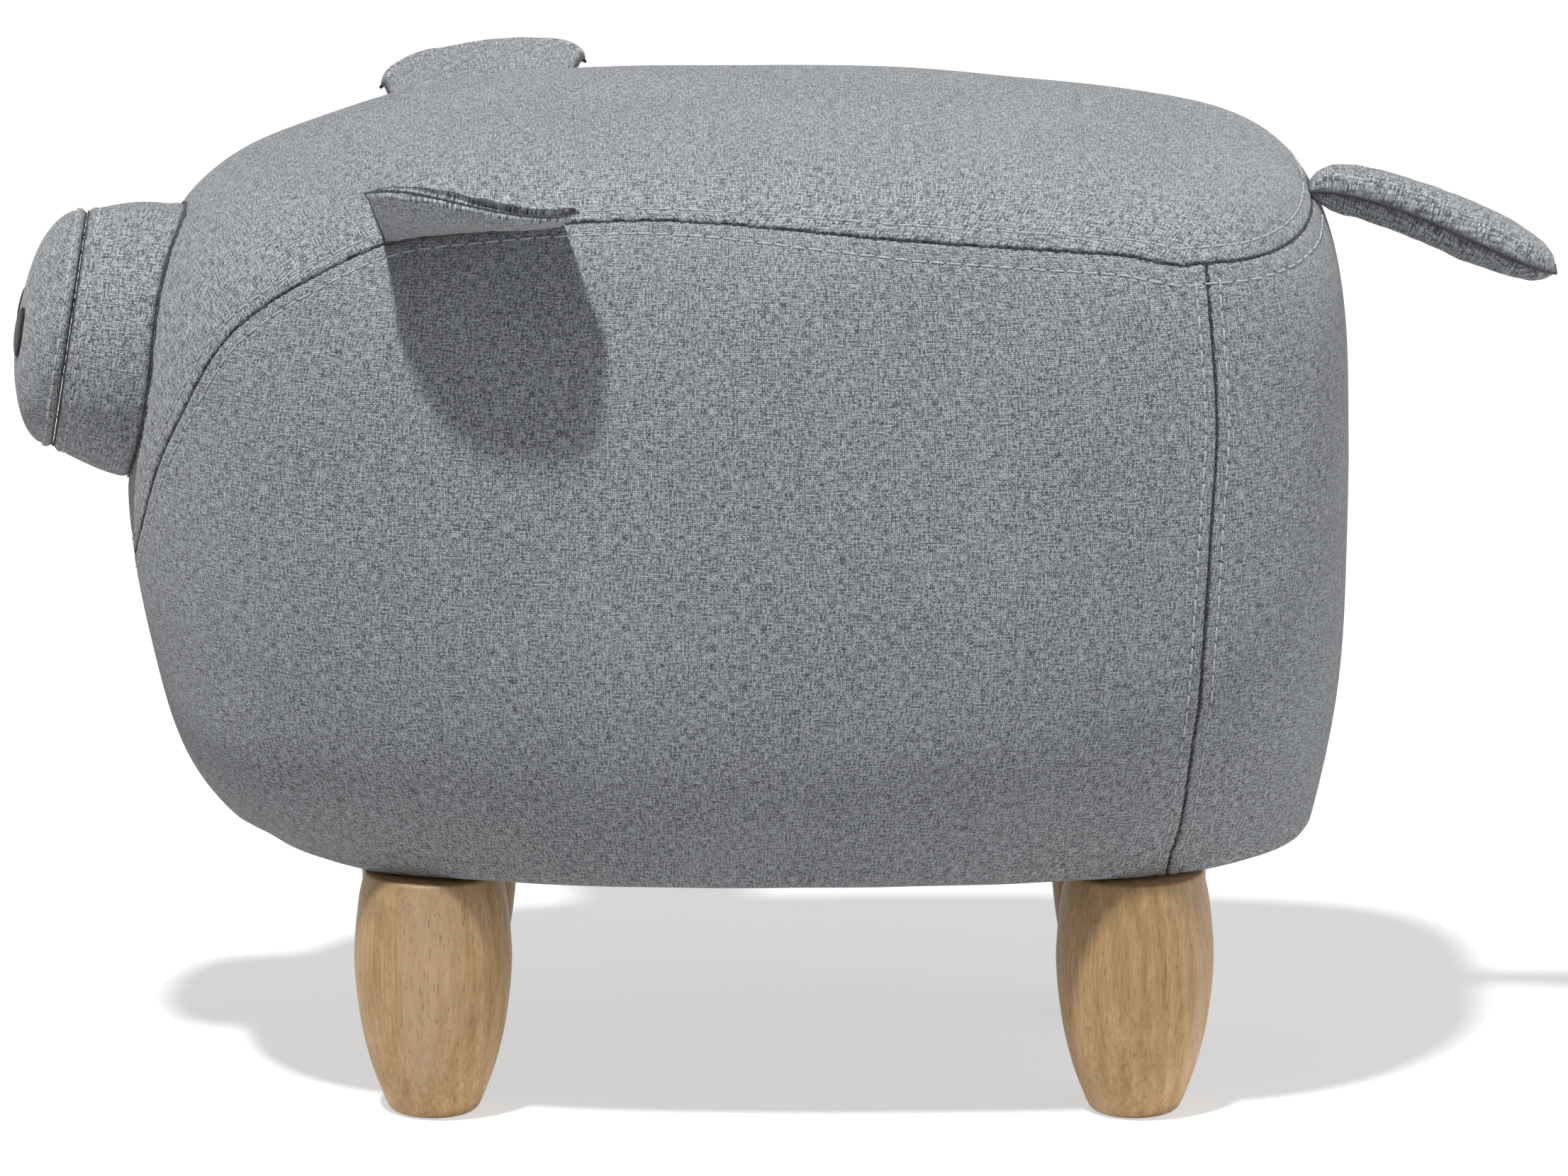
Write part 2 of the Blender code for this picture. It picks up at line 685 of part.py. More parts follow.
def closed_profile(outer, inner):
    return [*outer, *reversed(inner), outer[0]]


def make_snout(shapes):
    gap, lining = SEAM_GAP / 2, FABRIC + CLEARANCE
    sleeve = closed_profile(sleeve_profile(back=gap), sleeve_profile(-FABRIC, back=gap))
    cap = [*dome_profile(), *reversed(dome_profile(-FABRIC))]
    cap = [(radius, along + gap) for radius, along in cap]
    filling = [*dome_profile(-lining), *sleeve_profile(-lining)[1:], (0, -SNOUT_ROOT)]
    pieces = {
        "snout_sleeve": (sleeve, CLOTH),
        "snout_cap": (cap, CLOTH),
        "snout_filling": (filling, FILLING),
    }
    for name, (profile, look) in pieces.items():
        piece = add_part(name, along_snout(turned_mesh(profile, SNOUT_SIDES)), look)
        if name != "snout_cap":
            cut(piece, shapes["around_panels"])
    skins = {}
    for name, grown in (("nostril_front", NOSTRIL_THICKNESS), ("nostril_back", CLEARANCE)):
        profile = [(radius, along + gap) for radius, along in dome_profile(grown)]
        profile.append((0, snout_sleeve))
        skins[name] = add_cutter(name, along_snout(turned_mesh(profile, 2 * SNOUT_SIDES)))
    for side, sign in (("left", -1), ("right", 1)):
        low, high = snout_sleeve + SNOUT_DOME / 2, snout_sleeve + SNOUT_DOME + OVERRUN
        bm = turned_mesh(((0, high), (1, high), (1, low), (0, low)), NOSTRIL_SIDES)
        bmesh.ops.scale(bm, vec=(NOSTRIL_HEIGHT / 2, NOSTRIL_WIDTH / 2, 1), verts=bm.verts)
        bmesh.ops.translate(bm, vec=(0, sign * NOSTRIL_SPACING / 2, 0), verts=bm.verts)
        nostril = add_part(f"nostril_{side}", along_snout(bm), BLACK_CLOTH)
        cut(nostril, skins["nostril_front"], "INTERSECT")
        cut(nostril, skins["nostril_back"])


def plump_share(value):
    """How full a stuffed piece is across its width, from 0 at one edge to 1 in the middle."""
    return math.sqrt(1 - abs(2 * value - 1) ** PLUMP_POWER)


def sheet_mesh(upper, lower):
    """A closed thin solid between two grids of points of the same shape."""
    bm = bmesh.new()
    rows, columns = len(upper), len(upper[0])
    top = [[bm.verts.new(point) for point in row] for row in upper]
    low = [[bm.verts.new(point) for point in row] for row in lower]
    for i in range(rows - 1):
        for j in range(columns - 1):
            bm.faces.new((top[i][j], top[i][j + 1], top[i + 1][j + 1], top[i + 1][j]))
            bm.faces.new((low[i][j], low[i + 1][j], low[i + 1][j + 1], low[i][j + 1]))
    edge = [(0, j) for j in range(columns - 1)] + [(i, columns - 1) for i in range(rows - 1)]
    edge += [(rows - 1, j) for j in range(columns - 1, 0, -1)] + [(i, 0) for i in range(rows - 1, 0, -1)]
    for (i, j), (k, m) in zip(edge, edge[1:] + edge[:1]):
        bm.faces.new((top[i][j], low[i][j], low[k][m], top[k][m]))
    bmesh.ops.recalc_face_normals(bm, faces=bm.faces)
    return bm


def stuffed_piece(name, middle, halves):
    """Two covers and a filling about a middle sheet of points, thick by twice halves."""
    rows, columns = len(middle), len(middle[0])
    normals = []
    for i in range(rows):
        row = []
        for j in range(columns):
            along = middle[min(i + 1, rows - 1)][j] - middle[max(i - 1, 0)][j]
            across = middle[i][min(j + 1, columns - 1)] - middle[i][max(j - 1, 0)]
            normal = along.cross(across).normalized()
            row.append(-normal if normal.z < 0 else normal)
        normals.append(row)

    def shell(side, thinner, border):
        grid = []
        for i in range(rows):
            row = []
            for j in range(columns):
                on_edge = i in (0, rows - 1) or j in (0, columns - 1)
                half = border if on_edge and border is not None else halves[i][j] - thinner
                row.append(middle[i][j] + normals[i][j] * half * side)
            grid.append(row)
        return grid

    for word, side in (("upper", 1), ("lower", -1)):
        sheet = sheet_mesh(shell(side, 0, None), shell(side, COVER, SEAM_GAP / 2))
        add_part(f"{name}_{word}_cover", sheet, CLOTH)
    inner = [
        [row[1:-1] for row in shell(side, COVER + CLEARANCE, None)[1:-1]] for side in (1, -1)
    ]
    add_part(f"{name}_filling", sheet_mesh(*inner), FILLING)


def make_ear(side):
    """A stuffed flap whose root is sewn into the side seam."""
    sign = -1 if side == "left" else 1
    front, back = (
        body_point((along, sign * out, up), EAR_SET_IN) for along, out, up in EAR_ROOT_SHARES.values()
    )
    stand = Vector((0, sign, 1)).normalized() * EAR_STANDOFF
    bow = stand.normalized() * EAR_ROOT_BOW
    front_lift, back_lift = EAR_FRONT_LIFTS[side], EAR_BACK_LIFTS[side]
    middle, halves = [], []
    for along, out, front_weight in EAR_STATION_SHARES:
        reach = EAR_REACH * out
        rise = back_lift + (front_lift - back_lift) * front_weight
        root = front.lerp(back, along) + stand + bow * (4 * along * (1 - along))
        row, thick = [], []
        for step in range(EAR_ROWS + 1):
            share = step / EAR_ROWS
            place = Vector((
                -EAR_SWEEP * share * math.cos(math.pi * along),
                sign * reach * math.sin(share * math.pi / 2) ** 0.9,
                rise * share**EAR_CURL,
            ))
            row.append(root + place)
            full = plump_share(share) * plump_share(END_MARGIN + (1 - 2 * END_MARGIN) * along)
            thick.append(RIM / 2 + (EAR_THICKNESS - RIM) / 2 * full)
        middle.append(row)
        halves.append(thick)
    stuffed_piece(f"ear_{side}", middle, halves)


def make_tail():
    """A stuffed tail with its root at the rear seam."""
    root = body_point(TAIL_ROOT_SHARES, TAIL_SET_IN)
    middle, halves = [], []
    for along, drop, width, thickness in TAIL_STATION_SHARES:
        row, thick = [], []
        for step in range(TAIL_COLUMNS + 1):
            share = step / TAIL_COLUMNS
            row.append(Vector((
                root.x + along * (body_rear_x + TAIL_REACH - root.x),
                TAIL_WIDTH * width * (share - 0.5),
                root.z - TAIL_DROP * drop,
            )))
            full = plump_share(share) * (TAIL_THICKNESS * thickness - RIM) / 2
            thick.append(RIM / 2 + max(full, 0.0))
        middle.append(row)
        halves.append(thick)
    stuffed_piece("tail", middle, halves)


def main():
    shapes = make_cutters()
    make_panels(shapes)
    make_foam()
    make_frame(shapes)
    make_dust_cover(shapes)
    make_legs()
    make_snout(shapes)
    make_tail()
    for side in EAR_FRONT_LIFTS:
        make_ear(side)


for old in list(bpy.data.objects):
    bpy.data.objects.remove(old)
stool = new_collection("animal_footstool")
cutters = new_collection("cutters", hidden=True)
main()
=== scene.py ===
"""Looks of the animal footstool: linen covers, seams and topstitches, stuffed ears and tail,
turned legs, the frame inside, and the light and camera.

X runs along the animal with its head at -X, Y runs across it and Z is up, in metres.
"""

import math

import bmesh
import bpy
import numpy as np
from mathutils import Matrix, Vector, noise
from mathutils.bvhtree import BVHTree
from mathutils.kdtree import KDTree


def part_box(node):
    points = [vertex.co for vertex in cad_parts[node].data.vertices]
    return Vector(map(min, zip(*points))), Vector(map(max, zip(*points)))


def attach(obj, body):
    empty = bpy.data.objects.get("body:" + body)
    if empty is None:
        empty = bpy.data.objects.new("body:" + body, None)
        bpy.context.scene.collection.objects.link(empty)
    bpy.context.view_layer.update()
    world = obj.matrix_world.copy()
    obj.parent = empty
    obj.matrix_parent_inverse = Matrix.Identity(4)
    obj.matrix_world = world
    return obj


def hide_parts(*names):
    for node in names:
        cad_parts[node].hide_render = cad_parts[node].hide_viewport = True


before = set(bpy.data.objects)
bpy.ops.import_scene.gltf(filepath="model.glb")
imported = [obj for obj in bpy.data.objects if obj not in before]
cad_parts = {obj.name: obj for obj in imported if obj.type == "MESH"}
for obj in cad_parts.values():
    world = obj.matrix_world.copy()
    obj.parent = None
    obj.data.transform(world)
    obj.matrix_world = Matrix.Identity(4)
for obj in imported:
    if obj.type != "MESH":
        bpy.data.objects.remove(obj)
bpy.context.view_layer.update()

# Sizes that the solids have too
BODY_LENGTH = 0.4780
BODY_WIDTH = 0.2680
CROWN_HEIGHT = 0.3870
SNOUT_REACH = 0.0420
TAIL_REACH = 0.0800
BODY_REAR_X = (BODY_LENGTH + SNOUT_REACH + TAIL_REACH) / 2 - TAIL_REACH
BODY_FRONT_X = BODY_REAR_X - BODY_LENGTH
BODY_CENTRE_X = BODY_REAR_X - BODY_LENGTH / 2
UNDERSIDE = 0.0984
BODY_HEIGHT = CROWN_HEIGHT - UNDERSIDE
BELLY_HEIGHT = UNDERSIDE + 0.4751 * BODY_HEIGHT
BROW_DROP, BROW_RUN, BROW_START_X = 0.0132, 0.0790, BODY_FRONT_X + 0.29 * BODY_LENGTH
RUMP_DROP, RUMP_RUN, RUMP_START_X = 0.0090, 0.1000, BODY_FRONT_X + 0.63 * BODY_LENGTH
PLAN_POWERS = {"front": 2.8, "rear": 3.8}
UPPER_POWERS = {"front": 5.2, "flank": 5.05, "rear": 8.3}
HEM_PLAN_POWERS = {"front": 2.45, "rear": 2.75}
TUCKS = {"front": 0.053, "flank": 0.030, "rear": 0.013}
TUCK_POWERS = {"front": 2.5, "flank": 3.2, "rear": 4.2}
HEM_CREASE = 0.95
BODY_CUTS = (8, 6, 5)
HEM_OPENING = (-0.095, 0.095, 0.040)
BOLT_OPENING, HEM_FLAT, HEM_HELD, HEM_UNSTITCHED = 0.006, 0.003, 0.004, 0.002
CHIN_X, CHIN_Z, CHIN_RUN, CHIN_RISE = -0.228, 0.126, 0.050, 0.036
CHIN_FILL, CHIN_HEM_GAP = 0.0085, 0.015

# Seams in side view, as shares of the body's length from the nose and of its height
SIDE_SEAM = (
    (0.0040, 0.3300), (0.0105, 0.3900), (0.0205, 0.4700), (0.0330, 0.5520), (0.0520, 0.6320),
    (0.0780, 0.7200), (0.1065, 0.7790), (0.1545, 0.8380), (0.2210, 0.8930), (0.3000, 0.9170),
    (0.4030, 0.9300), (0.4760, 0.9290), (0.5550, 0.9190), (0.6440, 0.9060), (0.7360, 0.8950),
    (0.8120, 0.8830), (0.8550, 0.8680), (0.8770, 0.8676), (0.9210, 0.8650), (0.9660, 0.8720),
    (1.0300, 0.8900),
)
REAR_SEAM = (
    (0.8460, -0.0600), (0.8525, 0.0230), (0.8570, 0.0510), (0.8620, 0.0860), (0.8700, 0.2000),
    (0.8755, 0.2770), (0.8835, 0.5140), (0.8875, 0.6670), (0.8790, 0.8660), (0.8740, 1.0600),
)

# Cloth, seams and stitches
CLOTH = 0.0013
SEAM_STRIP, SEAM_CUTS = 0.0105, 3
SEAM_GAP = 0.00010
SEAM_REACH, SEAM_SHADE, ON_SEAM = 0.030, 0.0005, 0.0002
SEAM_DEPTH, SEAM_WIDTH = 0.0008, 0.0007
VALLEY_DEPTH, VALLEY_WIDTH = 0.00022, 0.0060
SNOUT_VALLEY_DEPTH, SNOUT_VALLEY_WIDTH = 0.0004, 0.0030
BAND_RISE = 0.00020
STITCH_DENT, STITCH_DENT_WIDTH = 0.00030, 0.0008
CRINKLE_DEPTH, CRINKLE_REACH = 0.00030, 0.0085
WALL_SEAM_OFFSET, WALL_STITCH_START, OFFSET_RUN = 0.0049, 0.0045, 0.20
SIDE_SEAM_OFFSETS = {"above": (0.0050, 0.0018), "below": (0.0056, 0.0026)}
SWELL_PRESSURE, SWELL_LIMIT, SWELL_HELD = 3.0, 0.0010, 0.007
RIPPLE, RIPPLE_RUN = 0.0005, 0.045
STITCH_PITCH = 0.0066
STITCH_LENGTH = 0.0054
STITCH_WIDTH = 0.00082
SEAM_STITCH_PITCH = 0.0032
# Fat and thin radii and lift of the dark strands of painted shade in the seams.
BODY_SEAM_LINE, CAP_SEAM_LINE = (0.00032, 0.00008, 0.00032), (0.00034, 0.00010, 0.00040)
FACE_SEAM_LINE, RIM_SEAM_LINE = (0.00040, 0.00014, 0.00040), (0.00075, 0.00042, 0.0)
LAID_STEPS = 6
YARN_PITCH, YARN_DRIFT = 0.00085, 0.0010

# Snout
SNOUT_TILT = math.radians(8.8)
SNOUT_BASE = Vector((BODY_FRONT_X + 0.0110, 0, UNDERSIDE + 0.6691 * BODY_HEIGHT))
SNOUT_BASE_RADIUS, SNOUT_CAP_RADIUS = 0.0540, 0.0464
SNOUT_DOME, SNOUT_BULGE, DOME_POWER = 0.0205, 0.0015, 0.85
SNOUT_SLEEVE = (0.0110 + SNOUT_REACH - 0.0020) / math.cos(SNOUT_TILT) - SNOUT_DOME
SNOUT_TURN = Matrix.Rotation(SNOUT_TILT - math.pi / 2, 3, "Y")
NOSTRIL_HEIGHT, NOSTRIL_WIDTH, NOSTRIL_THICKNESS, NOSTRIL_SPACING = 0.0200, 0.0130, 0.0020, 0.0360
NOSTRIL_SET_IN, NOSTRIL_EDGE_POWER = 0.0006, 0.45
RING_GROOVE, RING_RIDGE, RING_DENT, RING_SHADE = 0.0013, 0.0006, 0.0004, 0.0008
RING_GROOVE_FACE, RING_SHADE_FACE = 0.0010, 0.0011
RIDGE_AT, DENT_AT, CAP_STITCHES_AT = 0.0024, 0.0042, 0.0050
CAP_LIFT = 0.0003

# Ears and tail
EAR_ROOTS = {"front": (-0.6737, 0.9406, 1.0), "back": (-0.3188, 0.9660, 1.0)}
EAR_SET_IN, EAR_STANDOFF, EAR_ROOT_BOW = 0.0039, 0.0005, 0.0022
EAR_REACH, EAR_SWEEP, EAR_THICKNESS, EAR_CURL = 0.0560, 0.0065, 0.0088, 0.8
EAR_FRONT_LIFTS = {"left": 0.0340, "right": 0.0065}
EAR_BACK_LIFTS = {"left": 0.0170, "right": 0.0055}
EAR_STATIONS = (
    (0.00, 0.60, 0.80), (0.08, 0.82, 0.97), (0.20, 0.95, 0.98), (0.36, 1.00, 0.78),
    (0.54, 1.00, 0.47), (0.72, 0.98, 0.22), (0.88, 0.88, 0.06), (1.00, 0.62, -0.05),
)
TAIL_ROOT, TAIL_SET_IN = (1.0, 0.0, 0.9005), 0.0064
TAIL_DROP, TAIL_WIDTH, TAIL_THICKNESS = 0.0330, 0.0290, 0.0215
TAIL_STATIONS = (
    (0.00, 0.00, 0.56, 0.34), (0.10, 0.01, 0.62, 0.80), (0.25, 0.10, 0.68, 0.94),
    (0.42, 0.26, 0.76, 1.00), (0.60, 0.48, 0.88, 1.00), (0.78, 0.71, 1.00, 0.93),
    (0.92, 0.90, 0.86, 0.70), (1.00, 1.00, 0.45, 0.30),
)
EAR_GRID, TAIL_GRID, EAR_TOP_FULLER = (96, 84), (120, 48), 1.3
RIM, PLUMP_POWER, END_MARGIN = 0.0030, 2.4, 0.04
RIM_LIP, RIM_GATHERS, RIM_DENTS, RIM_SHADE = 0.0011, 0.0009, 0.0008, 0.0007
EDGE_DROOP, EDGE_DROOP_START = 0.0030, 0.76

# Legs
LEG_HEIGHT = 0.0970
LEG_PLACES = {
    "front_left": (-0.1365, -0.0680), "front_right": (-0.1365, 0.0680),
    "rear_left": (0.1365, -0.0680), "rear_right": (0.1365, 0.0680),
}
BORE_RADIUS, BORE_BOTTOM = 0.0043, 0.0617
FOOT_RADIUS, FOOT_ROUND = 0.0185, 0.0045
LEG_TOP_EDGE = ((0.0255, 0.0970), (0.0262, 0.0967))
LEG_PROFILE = (
    (0.0265, 0.0960), (0.0284, 0.0880), (0.0297, 0.0780), (0.0305, 0.0680),
    (0.0307, 0.0600), (0.0298, 0.0475), (0.0276, 0.0325), (0.0238, 0.0175), (0.0190, 0.0045),
)


# Dust cover and its staples
COVER_THICKNESS, COVER_CORNER, COVER_HOLE, COVER_CREASE = 0.0005, 0.0120, 0.0055, 0.00012
STAPLE_SIZE, STAPLE_INSET, STAPLE_LEG_GAP = (0.0105, 0.0011, 0.0005), 0.006, 0.034
STAPLES_PER_END, STAPLES_PER_SIDE, STAPLES_FROM_CORNER = 6, 9, (0.018, 0.030)

# Light and camera
KEY_LEAN, KEY_ROLL, KEY_STRENGTH, KEY_WIDTH = math.radians(18), math.radians(11), 3.1, 3.4
FILL_DIRECTION, FILL_STRENGTH, FILL_WIDTH = (1.0, -0.16, 0.05), 1.3, 45.0
SKY_STRENGTH, FLOOR_GLOW = 0.14, 0.58
CAMERA_ELEVATION, CAMERA_DISTANCE, VIEW_WIDTH = math.radians(15), 7.5, 0.6127
VIEW_CENTRE = Vector((0, 0, 0.1915))
SENSOR_WIDTH = 36.0


def smooth_line(points, steps=6):
    """Points along one smooth curve through the given ones."""
    points = [Vector(point) for point in points]
    ends = [points[0], *points, points[-1]]
    line = []
    for before, start, end, after in zip(ends, ends[1:], ends[2:], ends[3:]):
        for step in range(steps):
            t = step / steps
            line.append(0.5 * (2 * start + (end - before) * t
                               + (2 * before - 5 * start + 4 * end - after) * t**2
                               + (3 * start - before - 3 * end + after) * t**3))
    return [*line, points[-1]]


def mesh_piece(name, bm, *materials):
    """Turn a bmesh into a named piece at the origin."""
    mesh = bpy.data.meshes.new(name)
    bm.to_mesh(mesh)
    bm.free()
    mesh.shade_smooth()
    for material in materials:
        mesh.materials.append(material)
    piece = bpy.data.objects.new(name, mesh)
    bpy.context.scene.collection.objects.link(piece)
    return piece


def evaluated(piece):
    """The piece's mesh with its modifiers applied, as a bmesh."""
    graph = bpy.context.evaluated_depsgraph_get()
    mesh = bpy.data.meshes.new_from_object(piece.evaluated_get(graph))
    bm = bmesh.new()
    bm.from_mesh(mesh)
    bpy.data.meshes.remove(mesh)
    return bm


def drop(piece):
    mesh = piece.data
    bpy.data.objects.remove(piece)
    bpy.data.meshes.remove(mesh)


def subdivide(piece, levels):
    soft = piece.modifiers.new("soft", "SUBSURF")
    soft.levels = soft.render_levels = levels


def thicken(piece, thickness):
    wall = piece.modifiers.new("cloth_thickness", "SOLIDIFY")
    wall.thickness = thickness
    wall.offset = -1.0


def spun(profile, steps, closed=True):
    """Spin a profile of (radius, height), listed from the top down, about the Z axis. An open
    shell keeps the way its faces look."""
    bm = bmesh.new()
    line = [bm.verts.new((radius, 0, height)) for radius, height in profile]
    edges = [bm.edges.new(pair) for pair in zip(line, line[1:])]
    bmesh.ops.spin(
        bm, geom=line + edges, cent=(0, 0, 0), axis=(0, 0, 1), angle=math.tau, steps=steps,
        use_merge=True,
    )
    bmesh.ops.remove_doubles(bm, verts=bm.verts, dist=1e-6)
    if closed:
        bmesh.ops.recalc_face_normals(bm, faces=bm.faces)
    return bm


def step_share(value):
    """A smooth step from 0 to 1."""
    value = min(max(value, 0.0), 1.0)
    return value * value * (3 - 2 * value)


def bell(distance, width):
    """1 at no distance, falling off smoothly over a width."""
    return math.exp(-((distance / width) ** 2))


def plump_share(value):
    return math.sqrt(max(1 - abs(2 * value - 1) ** PLUMP_POWER, 0.0))


def wrinkle(x, y, seed):
    return noise.noise(Vector((x, y, seed)))


def puckers(along, inward, fine, coarse, seeds):
    """Gathers in the cloth that run in from a seam."""
    return (wrinkle(along / fine, inward / 0.02, seeds[0])
            + 0.7 * wrinkle(along / coarse, inward / 0.03, seeds[1]))


class Finish:
    """A material's node tree, with short calls for its nodes."""

    def __init__(self, name, **constants):
        self.material = bpy.data.materials.new(name)
        self.material.use_nodes = True
        self.nodes = self.material.node_tree.nodes
        self.links = self.material.node_tree.links
        self.shader = self.nodes["Principled BSDF"]
        for socket, value in constants.items():
            self.shader.inputs[socket.replace("_", " ")].default_value = value

    def add(self, kind, settings=None, **inputs):
        node = self.nodes.new("ShaderNode" + kind)
        for key, value in (settings or {}).items():
            setattr(node, key, value)
        for key, value in inputs.items():
            self.plug(node.inputs[key.replace("_", " ")], value)
        return node

    def plug(self, socket, value):
        if isinstance(value, bpy.types.NodeSocket):
            self.links.new(value, socket)
        else:
            socket.default_value = value

    def math(self, operation, *values):
        node = self.nodes.new("ShaderNodeMath")
        node.operation = operation
        for socket, value in zip(node.inputs, values):
            self.plug(socket, value)
        return node.outputs[0]

    def plus(self, first, second):
        return self.math("ADD", first, second)

    def times(self, first, second):
        return self.math("MULTIPLY", first, second)

    def sine(self, value, turns):
        return self.math("SINE", self.times(value, turns))

    def mix(self, share, first, second, blend="MIX"):
        node = self.nodes.new("ShaderNodeMix")
        node.data_type = "RGBA"
        node.blend_type = blend
        self.plug(node.inputs[0], share)
        for socket, value in ((node.inputs[6], first), (node.inputs[7], second)):
            self.plug(socket, value if isinstance(value, bpy.types.NodeSocket) else (*value, 1))
        return node.outputs[2]

    def shaded(self, colour, share):
        """A colour times a grey share."""
        return self.mix(1.0, colour, self.place(share, share, share), "MULTIPLY")

    def span(self, value, low, high, out_low=0.0, out_high=1.0):
        node = self.add("MapRange", {"clamp": True}, Value=value)
        for socket, number in zip(("From Min", "From Max", "To Min", "To Max"),
                                  (low, high, out_low, out_high)):
            node.inputs[socket].default_value = number
        return node.outputs[0]

    def place(self, *values):
        node = self.nodes.new("ShaderNodeCombineXYZ")
        for socket, value in zip(node.inputs, values):
            self.plug(socket, value)
        return node.outputs[0]

    def axes(self, place):
        return self.add("SeparateXYZ", None, Vector=place).outputs

    def on_object(self):
        return self.add("TexCoord").outputs["Object"]

    def noise(self, vector, scale, detail=2.0, roughness=0.5, distortion=0.0):
        node = self.add("TexNoise", None, Vector=vector, Scale=scale, Detail=detail,
                        Roughness=roughness, Distortion=distortion)
        return node.outputs[0]

    def drawn_out(self, axes, scales, detail=2.0, roughness=0.5, distortion=0.0):
        """Noise with its own scale along each axis."""
        place = self.place(*(self.times(axis, scale) for axis, scale in zip(axes, scales)))
        return self.noise(place, 1.0, detail, roughness, distortion)

    def finish(self, colour, height=None, roughness=None, bump=0.5, depth=0.0005):
        self.plug(self.shader.inputs["Base Color"], colour)
        if roughness is not None:
            self.plug(self.shader.inputs["Roughness"], roughness)
        if height is not None:
            relief = self.add("Bump", None, Height=height)
            relief.inputs["Strength"].default_value = bump
            relief.inputs["Distance"].default_value = depth
            self.links.new(relief.outputs[0], self.shader.inputs["Normal"])
        return self.material


def linen(name, dark, light):
    """Plain-woven melange linen, on the piece's own weave map in metres."""
    look = Finish(name, Roughness=0.92, Sheen_Weight=0.22, Sheen_Roughness=0.55,
                  Specular_IOR_Level=0.22)
    weave = look.add("UVMap", {"uv_map": "weave"}).outputs[0]
    along, up, _ = look.axes(weave)
    along = look.plus(along, look.times(look.noise(weave, 70.0, 2.0), YARN_DRIFT))
    up = look.plus(up, look.times(look.noise(weave, 95.0, 1.0), YARN_DRIFT))

    def threads(along_scale, up_scale, layer, detail=2.0, roughness=0.5):
        place = look.place(look.times(along, along_scale), look.times(up, up_scale), layer)
        return look.noise(place, 1.0, detail, roughness)

    half_turn = math.pi / YARN_PITCH
    crossing = look.times(look.sine(along, half_turn), look.sine(up, half_turn))
    pillow = look.math("POWER", look.math("ABSOLUTE", crossing), 0.45)
    over = look.math("GREATER_THAN", crossing, 0.0)
    warp_tone = threads(1.15 / YARN_PITCH, 240.0, 0.0, 2.0, 0.65)
    weft_tone = threads(240.0, 1.15 / YARN_PITCH, 3.0, 2.0, 0.65)
    yarn = look.mix(over, look.place(weft_tone, weft_tone, weft_tone),
                    look.place(warp_tone, warp_tone, warp_tone))
    tone = look.span(yarn, 0.39, 0.61)
    slub = threads(330.0, 28.0, 7.0)
    cloud = look.noise(weave, 16.0, 3.0)
    tone = look.plus(tone, look.times(look.math("SUBTRACT", slub, 0.5), 0.26))
    tone = look.plus(tone, look.times(look.math("SUBTRACT", cloud, 0.5), 0.22))
    colour = look.mix(look.span(tone, 0.0, 1.0), dark, light)
    flecks = look.span(threads(1900.0, 1900.0, 11.0, 1.0), 0.66, 0.76)
    colour = look.mix(look.times(flecks, 0.384), colour, (0.80, 0.82, 0.84))
    # Painted shade and light: darker in the gaps between the threads, lighter on their tops.
    colour = look.shaded(colour, look.span(pillow, 0.0, 1.0, 0.52, 1.16))
    # Painted shade: the cloth darkens towards near-black in the seams' grooves, by the seam_shade
    # attribute.
    seam = look.add("Attribute", {"attribute_name": "seam_shade"}).outputs[2]
    colour = look.mix(look.times(seam, 0.72), colour, (0.035, 0.037, 0.042))
    fuzz = threads(3200.0, 3200.0, 0.0)
    height = look.plus(pillow, look.times(fuzz, 0.35))
    height = look.plus(height, look.times(tone, 0.35))
    return look.finish(colour, height, look.span(fuzz, 0.2, 0.8, 0.84, 0.98), bump=0.7,
                       depth=0.00030)


def thread(name, colour, worn):
    """Twisted sewing thread, with painted shade in its twist's grooves. Its dark copy is painted
    shade for seams, stitch holes and rims.
    """
    look = Finish(name, Roughness=0.7, Sheen_Weight=0.3, Specular_IOR_Level=0.3)
    place = look.on_object()
    x, y, z = look.axes(place)
    twist = look.math("ABSOLUTE", look.sine(look.plus(look.plus(x, y), z), 5200.0))
    patch = look.noise(place, 180.0, 2.0)
    tone = look.mix(patch, colour, worn)
    # Painted shade: the grooves of the twist are darkened.
    tone = look.mix(look.span(twist, 0.0, 0.5, 0.35, 0.0), tone, tuple(c * 0.4 for c in colour))
    return look.finish(tone, twist, look.span(patch, 0.3, 0.7, 0.6, 0.8), bump=0.5, depth=0.0002)


